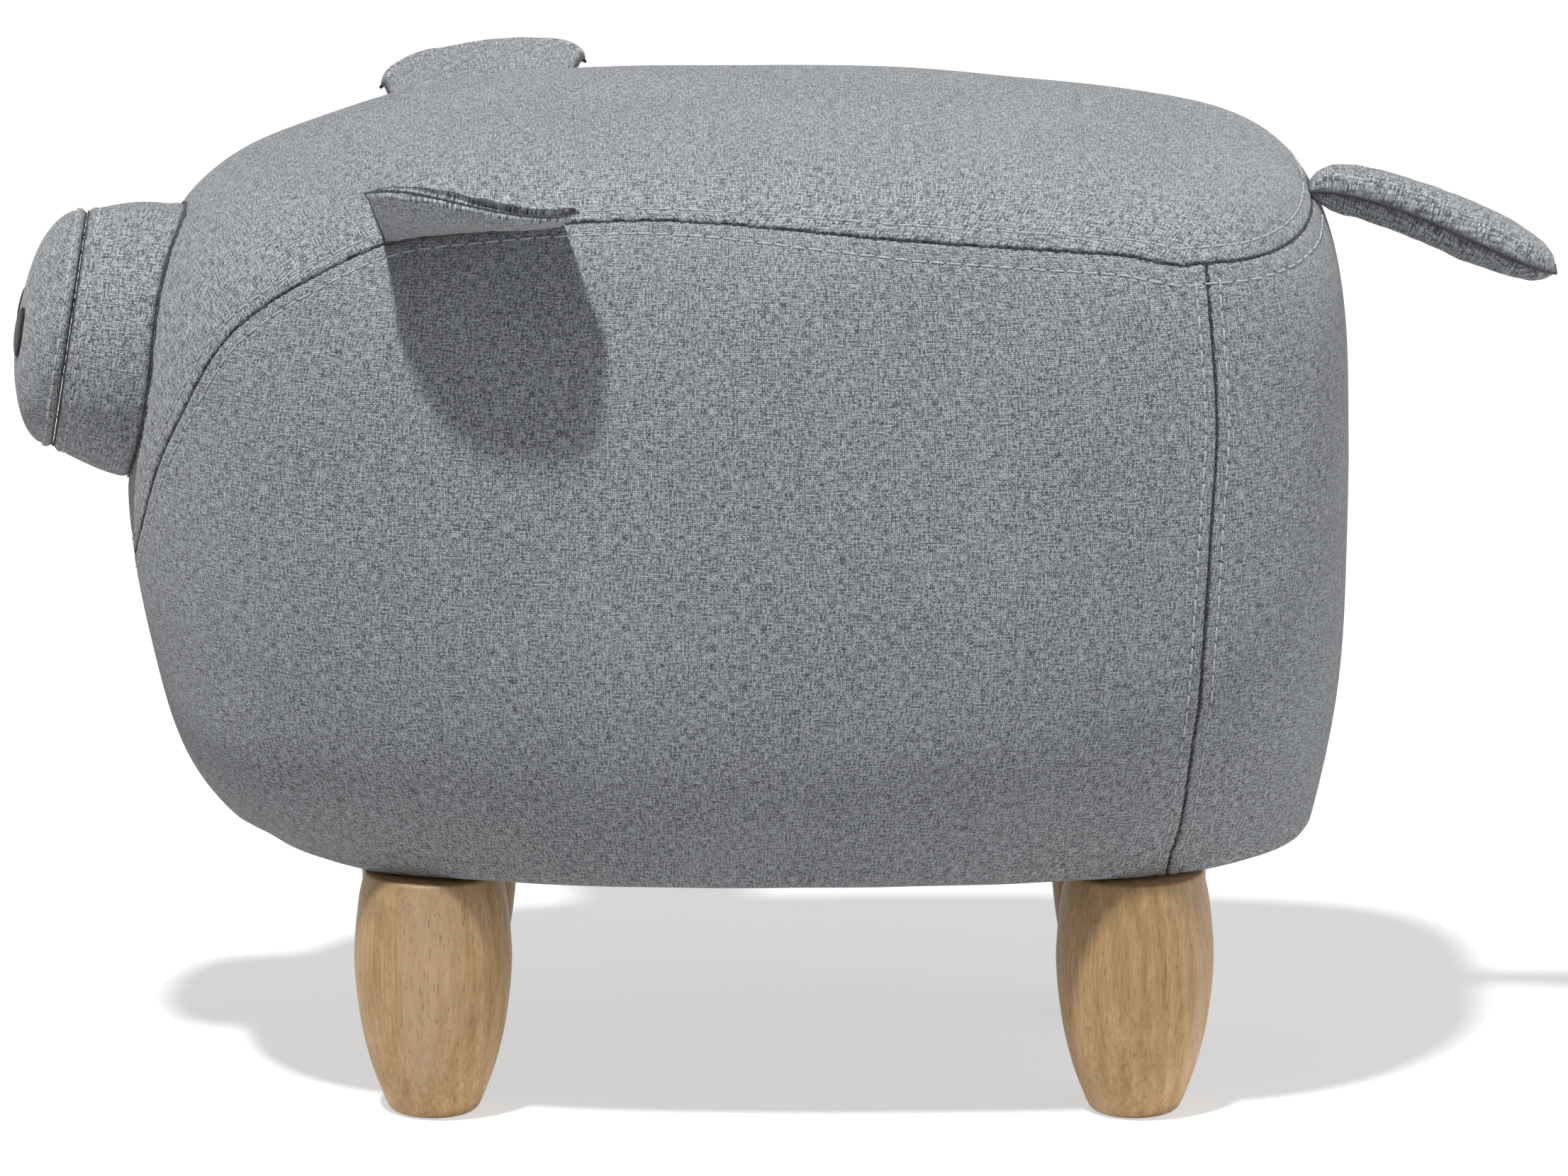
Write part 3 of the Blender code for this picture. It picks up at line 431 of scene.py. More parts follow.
def leg_wood():
    """Oiled rubberwood with upright grain, open pores and pale and pinkish streaks."""
    look = Finish("leg_wood", Roughness=0.5, Specular_IOR_Level=0.35, Coat_Weight=0.08,
                  Coat_Roughness=0.45)
    x, y, z = axes = look.axes(look.on_object())
    sway = look.drawn_out(axes, (18.0, 18.0, 9.0))
    lean = look.times(look.math("SUBTRACT", sway, 0.5), 0.030)
    ring_x = look.plus(look.plus(x, lean), look.times(z, 0.10))
    rings = look.span(look.sine(look.plus(ring_x, look.times(y, 0.55)), 720.0), -1.0, 1.0)
    grain = look.drawn_out(axes, (900.0, 900.0, 38.0), 3.0, 0.6)
    streak = look.drawn_out(axes, (190.0, 190.0, 7.0))
    pores = look.span(look.drawn_out(axes, (1900.0, 1900.0, 150.0), 1.0), 0.63, 0.72)
    pink = look.span(look.drawn_out(axes, (60.0, 60.0, 5.0), 1.0), 0.52, 0.68, 0.0, 0.55)
    tone = look.plus(look.times(grain, 0.75), look.times(rings, 0.12))
    tone = look.plus(tone, look.times(streak, 0.35))
    colour = look.mix(look.span(tone, 0.38, 0.84), (0.400, 0.236, 0.098), (0.700, 0.462, 0.240))
    colour = look.mix(pink, colour, (0.640, 0.440, 0.290))
    colour = look.mix(look.times(pores, 0.55), colour, (0.150, 0.078, 0.034))
    # Painted light: lighter towards the foot, as painted light from the floor, and darker at the
    # top, as painted shadow under the body.
    colour = look.shaded(colour, look.span(z, 0.012, 0.095, 1.34, 0.78))
    # Darker towards the bottom of the foot.
    darker_foot = look.span(z, 0.0, 0.006, 0.35, 0.0)
    colour = look.mix(darker_foot, colour, (0.210, 0.135, 0.075))
    height = look.math("SUBTRACT", look.times(grain, 0.4), pores)
    return look.finish(colour, height, look.span(grain, 0.3, 0.7, 0.58, 0.44), bump=0.35,
                       depth=0.0003)


def plywood():
    """Birch plywood, with its plies on the cut edges."""
    look = Finish("frame_plywood", Roughness=0.7)
    axes = look.axes(look.on_object())
    ply = look.sine(axes[2], 2100.0)
    grain = look.drawn_out(axes, (30.0, 420.0, 420.0), 4.0, 0.6)
    figure = look.drawn_out(axes, (6.0, 40.0, 40.0), 2.0, 0.5, 0.8)
    tone = look.plus(look.times(grain, 0.6), look.times(figure, 0.5))
    colour = look.mix(look.span(tone, 0.3, 0.8), (0.42, 0.27, 0.13), (0.68, 0.51, 0.32))
    colour = look.mix(look.span(ply, 0.6, 1.0, 0.0, 0.25), colour, (0.25, 0.15, 0.07))
    return look.finish(colour, grain, look.span(grain, 0.3, 0.7, 0.62, 0.8), bump=0.3)


def metal(name, dark, light, bloom, fine, roughness, bump):
    """Bare or plated steel. Bloom and fine are the scale and detail of its two noises."""
    look = Finish(name, Metallic=1.0)
    place = look.on_object()
    patch = look.noise(place, *bloom)
    return look.finish(look.mix(patch, dark, light), look.noise(place, *fine),
                       look.span(patch, 0.3, 0.7, *roughness), bump=bump, depth=0.0002)


def foam_look(name, dark, light, cells):
    look = Finish(name, Roughness=0.95)
    place = look.on_object()
    holes = look.add("TexVoronoi", {"feature": "F1"}, Vector=place, Scale=cells).outputs[0]
    patch = look.noise(place, 30.0, 2.0)
    colour = look.mix(look.span(holes, 0.1, 0.6), dark, light)
    colour = look.mix(look.times(patch, 0.3), colour, dark)
    return look.finish(colour, holes, look.span(patch, 0.3, 0.7, 0.9, 1.0), bump=0.5)


def black_cloth():
    """Close black felt-like cloth of the nostrils."""
    look = Finish("black_cloth", Roughness=0.88, Sheen_Weight=0.25, Specular_IOR_Level=0.2)
    fibres = look.noise(look.on_object(), 1500.0, 3.0, 0.7, 1.5)
    colour = look.mix(look.span(fibres, 0.3, 0.7), (0.006, 0.006, 0.007), (0.030, 0.030, 0.034))
    return look.finish(colour, fibres, look.span(fibres, 0.3, 0.7, 0.82, 0.95), bump=0.6,
                       depth=0.0004)


def dust_cloth():
    """Thin black spun-bonded cloth with its pressed dots."""
    look = Finish("dust_cloth", Roughness=0.8, Specular_IOR_Level=0.25)
    place = look.on_object()
    x, y, _ = look.axes(place)
    dots = look.span(look.times(look.sine(x, 2600.0), look.sine(y, 2600.0)), 0.35, 0.7)
    fibres = look.noise(place, 700.0, 4.0, 0.7, 1.2)
    colour = look.mix(look.span(fibres, 0.3, 0.7), (0.012, 0.012, 0.013), (0.045, 0.045, 0.048))
    colour = look.mix(look.times(dots, 0.5), colour, (0.008, 0.008, 0.008))
    height = look.math("SUBTRACT", look.times(fibres, 0.5), dots)
    return look.finish(colour, height, look.span(dots, 0.0, 1.0, 0.86, 0.6), bump=0.4,
                       depth=0.0003)


LINEN_DARK, LINEN_LIGHT = (0.096, 0.103, 0.112), (0.640, 0.664, 0.694)
grey_linen = linen("grey_linen", LINEN_DARK, LINEN_LIGHT)
pale_thread = thread("pale_thread", (0.50, 0.515, 0.53), (0.72, 0.735, 0.75))
# Not a thread: a near-black look for the painted shade laid in the seams' gaps, the stitch holes
# and the rims' grooves.
seam_gap_shade = thread("painted_seam_shade", (0.030, 0.032, 0.036), (0.075, 0.079, 0.086))
rubberwood = leg_wood()
frame_plywood = plywood()
plated_steel = metal("zinc_plated_steel", (0.52, 0.52, 0.53), (0.70, 0.69, 0.66),
                     (260.0, 3.0), (2600.0, 2.0), (0.26, 0.46), 0.15)
staple_wire = metal("staple_steel", (0.45, 0.45, 0.45), (0.72, 0.72, 0.72),
                    (900.0, 2.0), (900.0, 2.0), (0.24, 0.42), 0.10)
foam = foam_look("cream_foam", (0.46, 0.41, 0.26), (0.82, 0.77, 0.58), 900.0)
fibre_fill = foam_look("white_fibre", (0.62, 0.62, 0.60), (0.90, 0.90, 0.88), 500.0)
nostril_cloth = black_cloth()
lining = dust_cloth()


def body_point(unit, inset=0.0):
    """A point of the unit cube's skin, moved onto the body drawn in by an inset."""
    u, v, w = unit
    half = "front" if u < 0 else "rear"
    tuck = max(-w, 0.0)
    plan = PLAN_POWERS[half] + (HEM_PLAN_POWERS[half] - PLAN_POWERS[half]) * tuck
    across = abs(u) ** plan + abs(v) ** plan
    reach = across ** (1 / plan)
    if w > 0:
        endwise = abs(u) ** plan / across if across else 0.0
        power = UPPER_POWERS["flank"] + (UPPER_POWERS[half] - UPPER_POWERS["flank"]) * endwise
        size = (reach**power + w**power) ** (1 / power)
    else:
        size = reach / max(abs(u), abs(v)) if reach else 1.0
    length = BODY_LENGTH / 2 - inset - TUCKS[half] * tuck ** TUCK_POWERS[half]
    width = BODY_WIDTH / 2 - inset - TUCKS["flank"] * tuck ** TUCK_POWERS["flank"]
    x = BODY_CENTRE_X + u / size * length
    if w > 0:
        brow = BROW_DROP * step_share((BROW_START_X - x) / BROW_RUN)
        rump = RUMP_DROP * step_share((x - RUMP_START_X) / RUMP_RUN)
        rise = w / size * (CROWN_HEIGHT - brow - rump - BELLY_HEIGHT - inset)
    else:
        rise = w * (BELLY_HEIGHT - UNDERSIDE - inset)
    return Vector((x, v / size * width, BELLY_HEIGHT + rise))


def middle_of(edge):
    return (edge.verts[0].co + edge.verts[1].co) / 2


def body_cage():
    """A coarse cage of the body's skin, with a creased hem."""
    bm = bmesh.new()
    bmesh.ops.create_cube(bm, size=2.0)
    for axis, count in enumerate(BODY_CUTS):
        along = [e for e in bm.edges if abs(e.verts[0].co[axis] - e.verts[1].co[axis]) > 1]
        bmesh.ops.subdivide_edges(bm, edges=along, cuts=count - 1, use_grid_fill=True)
    crease = bm.edges.layers.float.new("crease_edge")
    for edge in bm.edges:
        low = all(v.co.z < -0.999 for v in edge.verts)
        outer = min(max(abs(v.co.x), abs(v.co.y)) for v in edge.verts) > 0.999
        middle = middle_of(edge)
        if low and outer and max(abs(middle.x), abs(middle.y)) > 0.999:
            edge[crease] = HEM_CREASE
    for vert in bm.verts:
        vert.co = body_point(vert.co)
    return bm


def body_skin(levels):
    """The body's smooth skin, filled out at the lower front corner as the photo shows."""
    cage = mesh_piece("body_cage", body_cage())
    subdivide(cage, levels)
    bm = evaluated(cage)
    drop(cage)
    bm.normal_update()
    pushes = []
    for vert in bm.verts:
        x, _, z = vert.co
        share = bell(x - CHIN_X, CHIN_RUN) * bell(z - CHIN_Z, CHIN_RISE)
        share *= step_share((z - UNDERSIDE) / CHIN_HEM_GAP)
        pushes.append(vert.normal * CHIN_FILL * share)
    for vert, push in zip(bm.verts, pushes):
        vert.co += push
    return bm


def side_view(shares):
    return smooth_line([(BODY_FRONT_X + along * BODY_LENGTH, UNDERSIDE + up * BODY_HEIGHT)
                        for along, up in shares])


side_line = np.array([tuple(point) for point in side_view(SIDE_SEAM)])
rear_line = np.array([tuple(point) for point in side_view(REAR_SEAM)])


def above_side_seam(point):
    return point.z - float(np.interp(point.x, side_line[:, 0], side_line[:, 1]))


def behind_rear_seam(point):
    return point.x - float(np.interp(point.z, rear_line[:, 1], rear_line[:, 0]))


def insert_seam(bm, level_of, wanted):
    """Cut the mesh along the line where level_of changes sign, and give the edges on that line."""
    level = {vert: level_of(vert.co) for vert in bm.verts}
    crossing = [edge for edge in bm.edges
                if wanted(edge) and level[edge.verts[0]] * level[edge.verts[1]] < 0]
    for edge in crossing:
        first, second = edge.verts
        if level[first] * level[second] >= 0:
            continue
        share = level[first] / (level[first] - level[second])
        near = first if share < 0.12 else second if share > 0.88 else None
        if near is not None and abs(level[near]) < 2e-4:
            other = second if near is first else first
            gap = level[near] / (level[near] - level[other])
            near.co = near.co.lerp(other.co, gap)
            level[near] = 0.0
    for edge in [e for e in crossing if level[e.verts[0]] * level[e.verts[1]] < 0]:
        first, second = edge.verts
        _, vert = bmesh.utils.edge_split(edge, first, level[first] / (level[first] - level[second]))
        level[vert] = 0.0
    on_line = dict.fromkeys(vert for vert, value in level.items() if abs(value) < 1e-9)
    for face in dict.fromkeys(f for vert in on_line for f in vert.link_faces):
        ends = [vert for vert in face.verts if vert in on_line]
        if len(ends) == 2 and not any(e.other_vert(ends[0]) is ends[1] for e in ends[0].link_edges):
            bmesh.utils.face_split(face, *ends)
    return list(dict.fromkeys(e for vert in on_line for e in vert.link_edges
                              if all(v in on_line for v in e.verts) and wanted(e)))


def seam_run(edges):
    """Put a seam's edges in order, from its highest free end, and give its points. A closed seam
    starts at the rear and runs along the right side first, so that every run turns the same way."""
    links = {}
    for edge in edges:
        first, second = edge.verts
        links.setdefault(first, []).append(second)
        links.setdefault(second, []).append(first)
    ends = [vert for vert, others in links.items() if len(others) == 1]
    if ends:
        start = max(ends, key=lambda v: (round(v.co.z, 4), -v.co.y))
    else:
        start = max(links, key=lambda v: v.co.x)
    run, seen = [start], {start}
    while True:
        onward = [vert for vert in links[run[-1]] if vert not in seen]
        if not onward:
            break
        run.append(max(onward, key=lambda v: v.co.y))
        seen.add(run[-1])
    points = [vert.co.copy() for vert in run]
    return points if ends else [*points, points[0]]


def on_wall_front(edge):
    middle = middle_of(edge)
    return above_side_seam(middle) < 1e-4 and middle.x < BODY_CENTRE_X - 0.05


def mark_seams(bm):
    """Cut every body seam into the mesh. Gives each seam's points, in order."""
    bm.edges.ensure_lookup_table()
    side = insert_seam(bm, above_side_seam, lambda edge: True)
    side_run = seam_run(side)
    rear = insert_seam(bm, behind_rear_seam, lambda edge: above_side_seam(middle_of(edge)) < 1e-5)
    rear_run = seam_run(rear)
    centre = insert_seam(bm, lambda point: point.y, on_wall_front)
    centre_run = seam_run([e for e in centre if above_side_seam(middle_of(e)) < -1e-5])
    return {"side": side_run, "rear": rear_run, "chin": centre_run}


def even_run(points, step):
    """Points at even steps along a run, with their distance along it."""
    co = np.array([tuple(p) for p in points])
    along = np.concatenate([[0], np.cumsum(np.linalg.norm(np.diff(co, axis=0), axis=1))])
    places = np.arange(0, along[-1], step)
    return np.stack([np.interp(places, along, co[:, axis]) for axis in range(3)], 1), places


class SeamMap:
    """How far a point is from the nearest seam, and how far along it."""

    def __init__(self, runs, step=0.0004):
        self.places, self.names = [], []
        rows = []
        for name, points in runs.items():
            co, along = even_run(points, step)
            rows.append(co)
            self.places.extend(along)
            self.names.extend([name] * len(along))
        rows = np.concatenate(rows)
        self.tree = KDTree(len(rows))
        for index, point in enumerate(rows):
            self.tree.insert(point, index)
        self.tree.balance()

    def nearest(self, point):
        _, index, distance = self.tree.find(point)
        return distance, self.places[index], self.names[index]


def seam_offset(name, above, place):
    """How far the topstitches run beside a seam at a place, on the side given."""
    if name != "side":
        return WALL_SEAM_OFFSET
    start, more = SIDE_SEAM_OFFSETS["above" if above else "below"]
    return start + more * step_share((place[0] + OFFSET_RUN / 2) / OFFSET_RUN)


def seam_relief(distance, along, name, above, stitched):
    """How far the cloth stands in (below 0) or out beside a seam."""
    pull = 0.5 + 0.5 * math.cos(math.tau * along / SEAM_STITCH_PITCH)
    rise = -SEAM_DEPTH * bell(distance, SEAM_WIDTH) * (0.75 + 0.5 * pull)
    rise -= VALLEY_DEPTH * bell(distance, VALLEY_WIDTH)
    if name == "snout":
        return rise - SNOUT_VALLEY_DEPTH * bell(distance, SNOUT_VALLEY_WIDTH)
    rise += BAND_RISE * bell(distance - stitched * 0.5, stitched * 0.33)
    tight = 0.5 + 0.5 * math.cos(math.tau * along / STITCH_PITCH)
    rise -= STITCH_DENT * bell(distance - stitched, STITCH_DENT_WIDTH) * (0.45 + 0.8 * tight)
    fade = bell(distance - stitched, CRINKLE_REACH) if distance > stitched else 1.0
    crinkle = wrinkle(along / 0.0052, distance / 0.013, 4.0 + 7.0 * above)
    crinkle += 0.6 * wrinkle(along / 0.0115, distance / 0.02, 9.0 + 7.0 * above)
    return rise + CRINKLE_DEPTH * crinkle * fade


def billow(piece, pinned, pressure, cap, frames=16):
    """Let the cloth swell under air pressure from inside, held at the pinned points. Gives how far
    each point moves, at most cap."""
    rest = np.empty(len(piece.data.vertices) * 3)
    piece.data.vertices.foreach_get("co", rest)
    rest = rest.reshape(-1, 3)
    held = piece.vertex_groups.new(name="held")
    held.add([int(i) for i in np.flatnonzero(pinned)], 1.0, "REPLACE")
    cloth = piece.modifiers.new("cloth", "CLOTH")
    settings = {
        "vertex_group_mass": "held", "quality": 4, "mass": 0.2, "tension_stiffness": 30,
        "compression_stiffness": 30, "shear_stiffness": 15, "bending_stiffness": 1.5,
        "use_pressure": True, "uniform_pressure_force": pressure,
    }
    for key, value in settings.items():
        setattr(cloth.settings, key, value)
    cloth.settings.effector_weights.gravity = 0.0
    cloth.collision_settings.use_collision = False
    cloth.point_cache.frame_start, cloth.point_cache.frame_end = 1, frames
    scene = bpy.context.scene
    for number in range(1, frames + 1):
        scene.frame_set(number)
    graph = bpy.context.evaluated_depsgraph_get()
    swollen = piece.evaluated_get(graph).data
    moved = np.empty(len(swollen.vertices) * 3)
    swollen.vertices.foreach_get("co", moved)
    scene.frame_set(1)
    shift = moved.reshape(-1, 3) - rest
    size = np.linalg.norm(shift, axis=1, keepdims=True)
    piece.modifiers.remove(cloth)
    return shift * np.minimum(1.0, cap / np.maximum(size, 1e-9))


def spread_shift(points, shifts):
    """A function giving the shift at any place, from the nearest known points."""
    tree = KDTree(len(points))
    for index, point in enumerate(points):
        tree.insert(point, index)
    tree.balance()

    def shift_at(place):
        near = tree.find_n(place, 4)
        weights = [1 / (distance + 1e-5) for _, _, distance in near]
        total = sum(weights)
        shares = (shifts[i] * w / total for (_, i, _), w in zip(near, weights))
        return Vector(sum(shares, np.zeros(3)))

    return shift_at


def wall_arc():
    """Distance round the belly, against the angle from the front or rear middle."""
    arcs = {}
    for end, sign in (("front", -1), ("rear", 1)):
        angles = np.linspace(0, math.pi, 400)
        points = []
        for angle in angles:
            c, s = sign * math.cos(angle), math.sin(angle)
            power = PLAN_POWERS["front" if c < 0 else "rear"]
            size = (abs(c) ** power + abs(s) ** power) ** (1 / power)
            points.append((c / size * BODY_LENGTH / 2, s / size * BODY_WIDTH / 2))
        steps = np.linalg.norm(np.diff(np.array(points), axis=0), axis=1)
        arcs[end] = (angles, np.concatenate([[0], np.cumsum(steps)]))
    return arcs


belly_arcs = wall_arc()


def wall_weave(point, end):
    """The weave's place on the walls: round the body, and up it."""
    sign = -1 if end == "front" else 1
    u = (point.x - BODY_CENTRE_X) / (BODY_LENGTH / 2)
    v = point.y / (BODY_WIDTH / 2)
    angle = math.atan2(abs(v), sign * u)
    angles, arcs = belly_arcs[end]
    round_it = float(np.interp(angle, angles, arcs)) * (1 if v > 0 else -1)
    power = PLAN_POWERS["front" if u < 0 else "rear"]
    reach = (abs(u) ** power + abs(v) ** power) ** (1 / power)
    inward = max(1 - reach, 0.0) * 0.13
    rise = point.z - inward * 0.8 if point.z < BELLY_HEIGHT else point.z + inward * 0.8
    return round_it, rise


def top_weave(point):
    """The weave's place on the top panel: along the back, and across it."""
    drop_in = max(0.372 - point.z, 0.0) * 0.8
    return point.x - (drop_in if point.x < BODY_CENTRE_X else -drop_in) * 0.9, point.y


def lay_weave(bm, weave_of):
    weave = bm.loops.layers.uv.new("weave")
    rest = bm.verts.layers.float_vector["rest"]
    for vert in bm.verts:
        place = weave_of(Vector(vert[rest]))
        for loop in vert.link_loops:
            loop[weave].uv = place


def laid_beside(points, step, surface, offset_at=None):
    """Places beside a seam on the surface, with the surface's direction out."""
    co, _ = even_run(points, step)
    laid = []
    for index, point in enumerate(co):
        ahead, behind = co[min(index + 1, len(co) - 1)], co[max(index - 1, 0)]
        onward = Vector(ahead - behind).normalized()
        _, out, _, _ = surface.find_nearest(Vector(point))
        beside = out.cross(onward).normalized()
        offset = offset_at(point) if offset_at else 0.0
        place, out, _, _ = surface.find_nearest(Vector(point) + beside * offset)
        laid.append((place, out))
    return laid


def strand_piece(name, strands, material, body):
    """Round strands, each a list of places with a list of radii, as one mesh piece."""
    curve = bpy.data.curves.new(name, "CURVE")
    curve.dimensions = "3D"
    curve.bevel_depth = 1.0
    curve.bevel_resolution = 1
    curve.use_fill_caps = True
    for places, radii in strands:
        spline = curve.splines.new("POLY")
        spline.points.add(len(places) - 1)
        spline.points.foreach_set("co", [c for place in places for c in (*place, 1.0)])
        spline.points.foreach_set("radius", radii)
    drawn = bpy.data.objects.new(name, curve)
    bpy.context.scene.collection.objects.link(drawn)
    bm = evaluated(drawn)
    bpy.data.objects.remove(drawn)
    bmesh.ops.remove_doubles(bm, verts=bm.verts, dist=1e-7)
    bmesh.ops.recalc_face_normals(bm, faces=bm.faces)
    piece = mesh_piece(name, bm, material)
    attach(piece, body)
    return piece


def stitches_along(places):
    """Strands of stitches along laid places, and dark stubs of painted shade in the holes at their
    ends.
    """
    every, length, width = LAID_STEPS, STITCH_LENGTH, STITCH_WIDTH
    threads, holes = [], []
    for index in range(0, len(places) - every, every):
        start, end = places[index], places[index + every]
        middle, out = places[index + every // 2]
        onward = (end[0] - start[0]).normalized()
        place = middle + out * width * 0.12
        shares = (-0.5, -0.36, 0.0, 0.36, 0.5)
        lifts = (-0.34, 0.0, 0.10, 0.0, -0.34)
        bent = [place + onward * length * a + out * width * b for a, b in zip(shares, lifts)]
        threads.append((bent, [width * r for r in (0.26, 0.46, 0.50, 0.46, 0.26)]))
        # Painted shade: a dark stub in each stitch hole.
        hole, out = start
        holes.append(([hole - out * width * 0.3, hole + out * width * 0.08], [width * 0.44] * 2))
    return threads, holes


def seam_strand(places, fat, thin, lift):
    """A dark strand of painted shade, thick and thin by turns, laid in a seam's gap."""
    radii = []
    for index in range(len(places)):
        share = 0.5 + 0.5 * math.cos(math.tau * index / LAID_STEPS)
        radii.append(thin + (fat - thin) * min(share * 1.6, 1.0))
    return [place + out * lift for place, out in places], radii


def near_leg(x, y, radius):
    return any(math.hypot(x - a, y - b) < radius for a, b in LEG_PLACES.values())


def hem_open(point):
    """Left open under the stool: the hem's opening, and the holes for the leg bolts."""
    front, rear, side = HEM_OPENING
    if point.z > UNDERSIDE + HEM_FLAT:
        return False
    if front < point.x < rear and abs(point.y) < side:
        return True
    return near_leg(point.x, point.y, BOLT_OPENING)


def body_swell(seams):
    """How far the swollen cloth stands from the body's skin."""
    cloth = mesh_piece("body_swell", body_skin(3))
    held = np.array([seams.nearest(v.co)[0] < SWELL_HELD or v.co.z < UNDERSIDE + HEM_HELD
                     for v in cloth.data.vertices])
    shifts = billow(cloth, held, SWELL_PRESSURE, SWELL_LIMIT)
    shift_at = spread_shift([v.co.copy() for v in cloth.data.vertices], shifts)
    drop(cloth)
    return shift_at


def seamed_skin():
    """The skin with every seam cut in and finer faces beside the seams, and the seams' points."""
    skin = body_skin(4)
    finer = body_skin(5)
    fine_tree = BVHTree.FromBMesh(finer)
    finer.free()
    coarse = skin.copy()
    rough_map = SeamMap(mark_seams(coarse), 0.002)
    coarse.free()
    near = [face for face in skin.faces
            if rough_map.nearest(face.calc_center_median())[0] < SEAM_STRIP]
    before = set(skin.verts)
    edges = list(dict.fromkeys(e for face in near for e in face.edges))
    bmesh.ops.subdivide_edges(skin, edges=edges, cuts=SEAM_CUTS, use_grid_fill=True)
    for vert in skin.verts:
        if vert not in before:
            vert.co = fine_tree.find_nearest(vert.co)[0]
    return skin, mark_seams(skin), snout_meets(fine_tree)


def raise_skin(skin, seams, shift_at):
    """Swell the skin, draw its seams in and ripple it. Keeps each point's first place."""
    skin.verts.layers.float_vector.new("rest")
    skin.verts.layers.float.new("seam_shade")
    skin.verts.layers.int.new("at_seam")
    rest = skin.verts.layers.float_vector["rest"]
    shade, at_seam = skin.verts.layers.float["seam_shade"], skin.verts.layers.int["at_seam"]
    skin.normal_update()
    moved = {}
    for vert in skin.verts:
        vert[rest] = vert.co
        distance, along, name = seams.nearest(vert.co)
        above = above_side_seam(vert.co) > 0 if name == "side" else True
        rise = RIPPLE * wrinkle(vert.co.x / RIPPLE_RUN, vert.co.z / 0.05, vert.co.y / 0.05)
        vert[at_seam] = int(distance < ON_SEAM)
        if distance < SEAM_REACH:
            stitched = seam_offset(name, above, vert.co)
            rise += seam_relief(distance, along, name, above, stitched)
            vert[shade] = bell(distance, SEAM_SHADE)
        moved[vert] = moved_point(vert.co, shift_at) + vert.normal * rise
    for vert, place in moved.items():
        vert.co = place


def panel_at(place):
    """The number of the panel that a place belongs to, or -1 in the hem's openings."""
    if hem_open(place):
        return -1
    if above_side_seam(place) > 0:
        return 0
    if behind_rear_seam(place) > 0:
        return 3
    return 1 if place.y < 0 else 2


def cut_panel(skin, number, weave_of):
    """One panel's share of the skin, with its seam edges drawn back a little."""
    bm = skin.copy()
    region, at_seam = bm.faces.layers.int["region"], bm.verts.layers.int["at_seam"]
    unwanted = [face for face in bm.faces if face[region] != number]
    bmesh.ops.delete(bm, geom=unwanted, context="FACES")
    for vert in bm.verts:
        if vert[at_seam] and vert.is_boundary:
            middles = [face.calc_center_median() for face in vert.link_faces]
            inward = sum(middles, Vector()) / len(middles) - vert.co
            vert.co += inward.normalized() * SEAM_GAP
    lay_weave(bm, weave_of)
    bm.verts.layers.float_vector.remove(bm.verts.layers.float_vector["rest"])
    bm.verts.layers.int.remove(bm.verts.layers.int["at_seam"])
    bm.faces.layers.int.remove(bm.faces.layers.int["region"])
    return bm


def make_body():
    """The body's four panels. Gives their outer surface, and the points of the seams."""
    skin, runs, snout_run = seamed_skin()
    seams = SeamMap({**runs, "snout": snout_run})
    shift_at = body_swell(seams)
    raise_skin(skin, seams, shift_at)
    runs_moved = {name: [moved_point(point, shift_at) for point in run]
                  for name, run in runs.items()}

    region = skin.faces.layers.int.new("region")
    rest = skin.verts.layers.float_vector["rest"]
    for face in skin.faces:
        centre = sum((Vector(v[rest]) for v in face.verts), Vector()) / len(face.verts)
        face[region] = panel_at(centre)
    panels = (
        ("top_cover", "top_panel", top_weave),
        ("side_cover_left", "side_panel_left", lambda p: wall_weave(p, "front")),
        ("side_cover_right", "side_panel_right", lambda p: wall_weave(p, "front")),
        ("rear_cover", "rear_panel", lambda p: wall_weave(p, "rear")),
    )
    for number, (name, node, weave_of) in enumerate(panels):
        panel = mesh_piece(name, cut_panel(skin, number, weave_of), grey_linen)
        thicken(panel, CLOTH)
        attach(panel, "stool")
        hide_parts(node)
    surface = BVHTree.FromBMesh(skin)
    skin.free()
    return surface, runs_moved, snout_run


def moved_point(point, shift_at):
    return point + shift_at(point) if shift_at else point


def sew_body(surface, runs):
    """Strands of painted shade in the seams' gaps, and the topstitches beside them with painted
    shade in their holes.
    """
    step = SEAM_STITCH_PITCH / LAID_STEPS
    strands = [seam_strand(laid_beside(run, step, surface), *BODY_SEAM_LINE)
               for run in runs.values()]
    strand_piece("seam_line", strands, seam_gap_shade, "stool")
    threads, holes = [], []
    for name, run in runs.items():
        for above in (True, False):
            side = 1 if above else -1
            places = laid_beside(run, STITCH_PITCH / LAID_STEPS, surface,
                                 lambda place: side * seam_offset(name, above, place))
            if name != "side":
                places = [p for p in places if above_side_seam(p[0]) < -WALL_STITCH_START]
            places = [p for p in places if p[0].z > UNDERSIDE + HEM_UNSTITCHED]
            more, dark = stitches_along(places)
            threads += more
            holes += dark
    strand_piece("topstitches", threads, pale_thread, "stool")
    strand_piece("stitch_holes", holes, seam_gap_shade, "stool")


def along_snout(point):
    return SNOUT_TURN @ Vector(point) + SNOUT_BASE


def sleeve_radius(share):
    """The sleeve's radius, from the cap seam at 0 to the face at 1."""
    bulge = SNOUT_BULGE * math.sin(math.pi * min(max(share, 0.0), 1.0))
    return SNOUT_CAP_RADIUS + (SNOUT_BASE_RADIUS - SNOUT_CAP_RADIUS) * share + bulge


def snout_meets(tree, count=180):
    """Where the snout's sleeve meets the face, round it."""
    def on_sleeve(turn, share):
        radius = sleeve_radius(share)
        return along_snout((radius * math.cos(turn), radius * math.sin(turn),
                            SNOUT_SLEEVE * (1 - share)))

    run = []
    for index in range(count + 1):
        turn = math.tau * index / count
        start, end = on_sleeve(turn, 0.0), on_sleeve(turn, 1.0)
        run.append(tree.ray_cast(start, (end - start).normalized())[0])
    return run


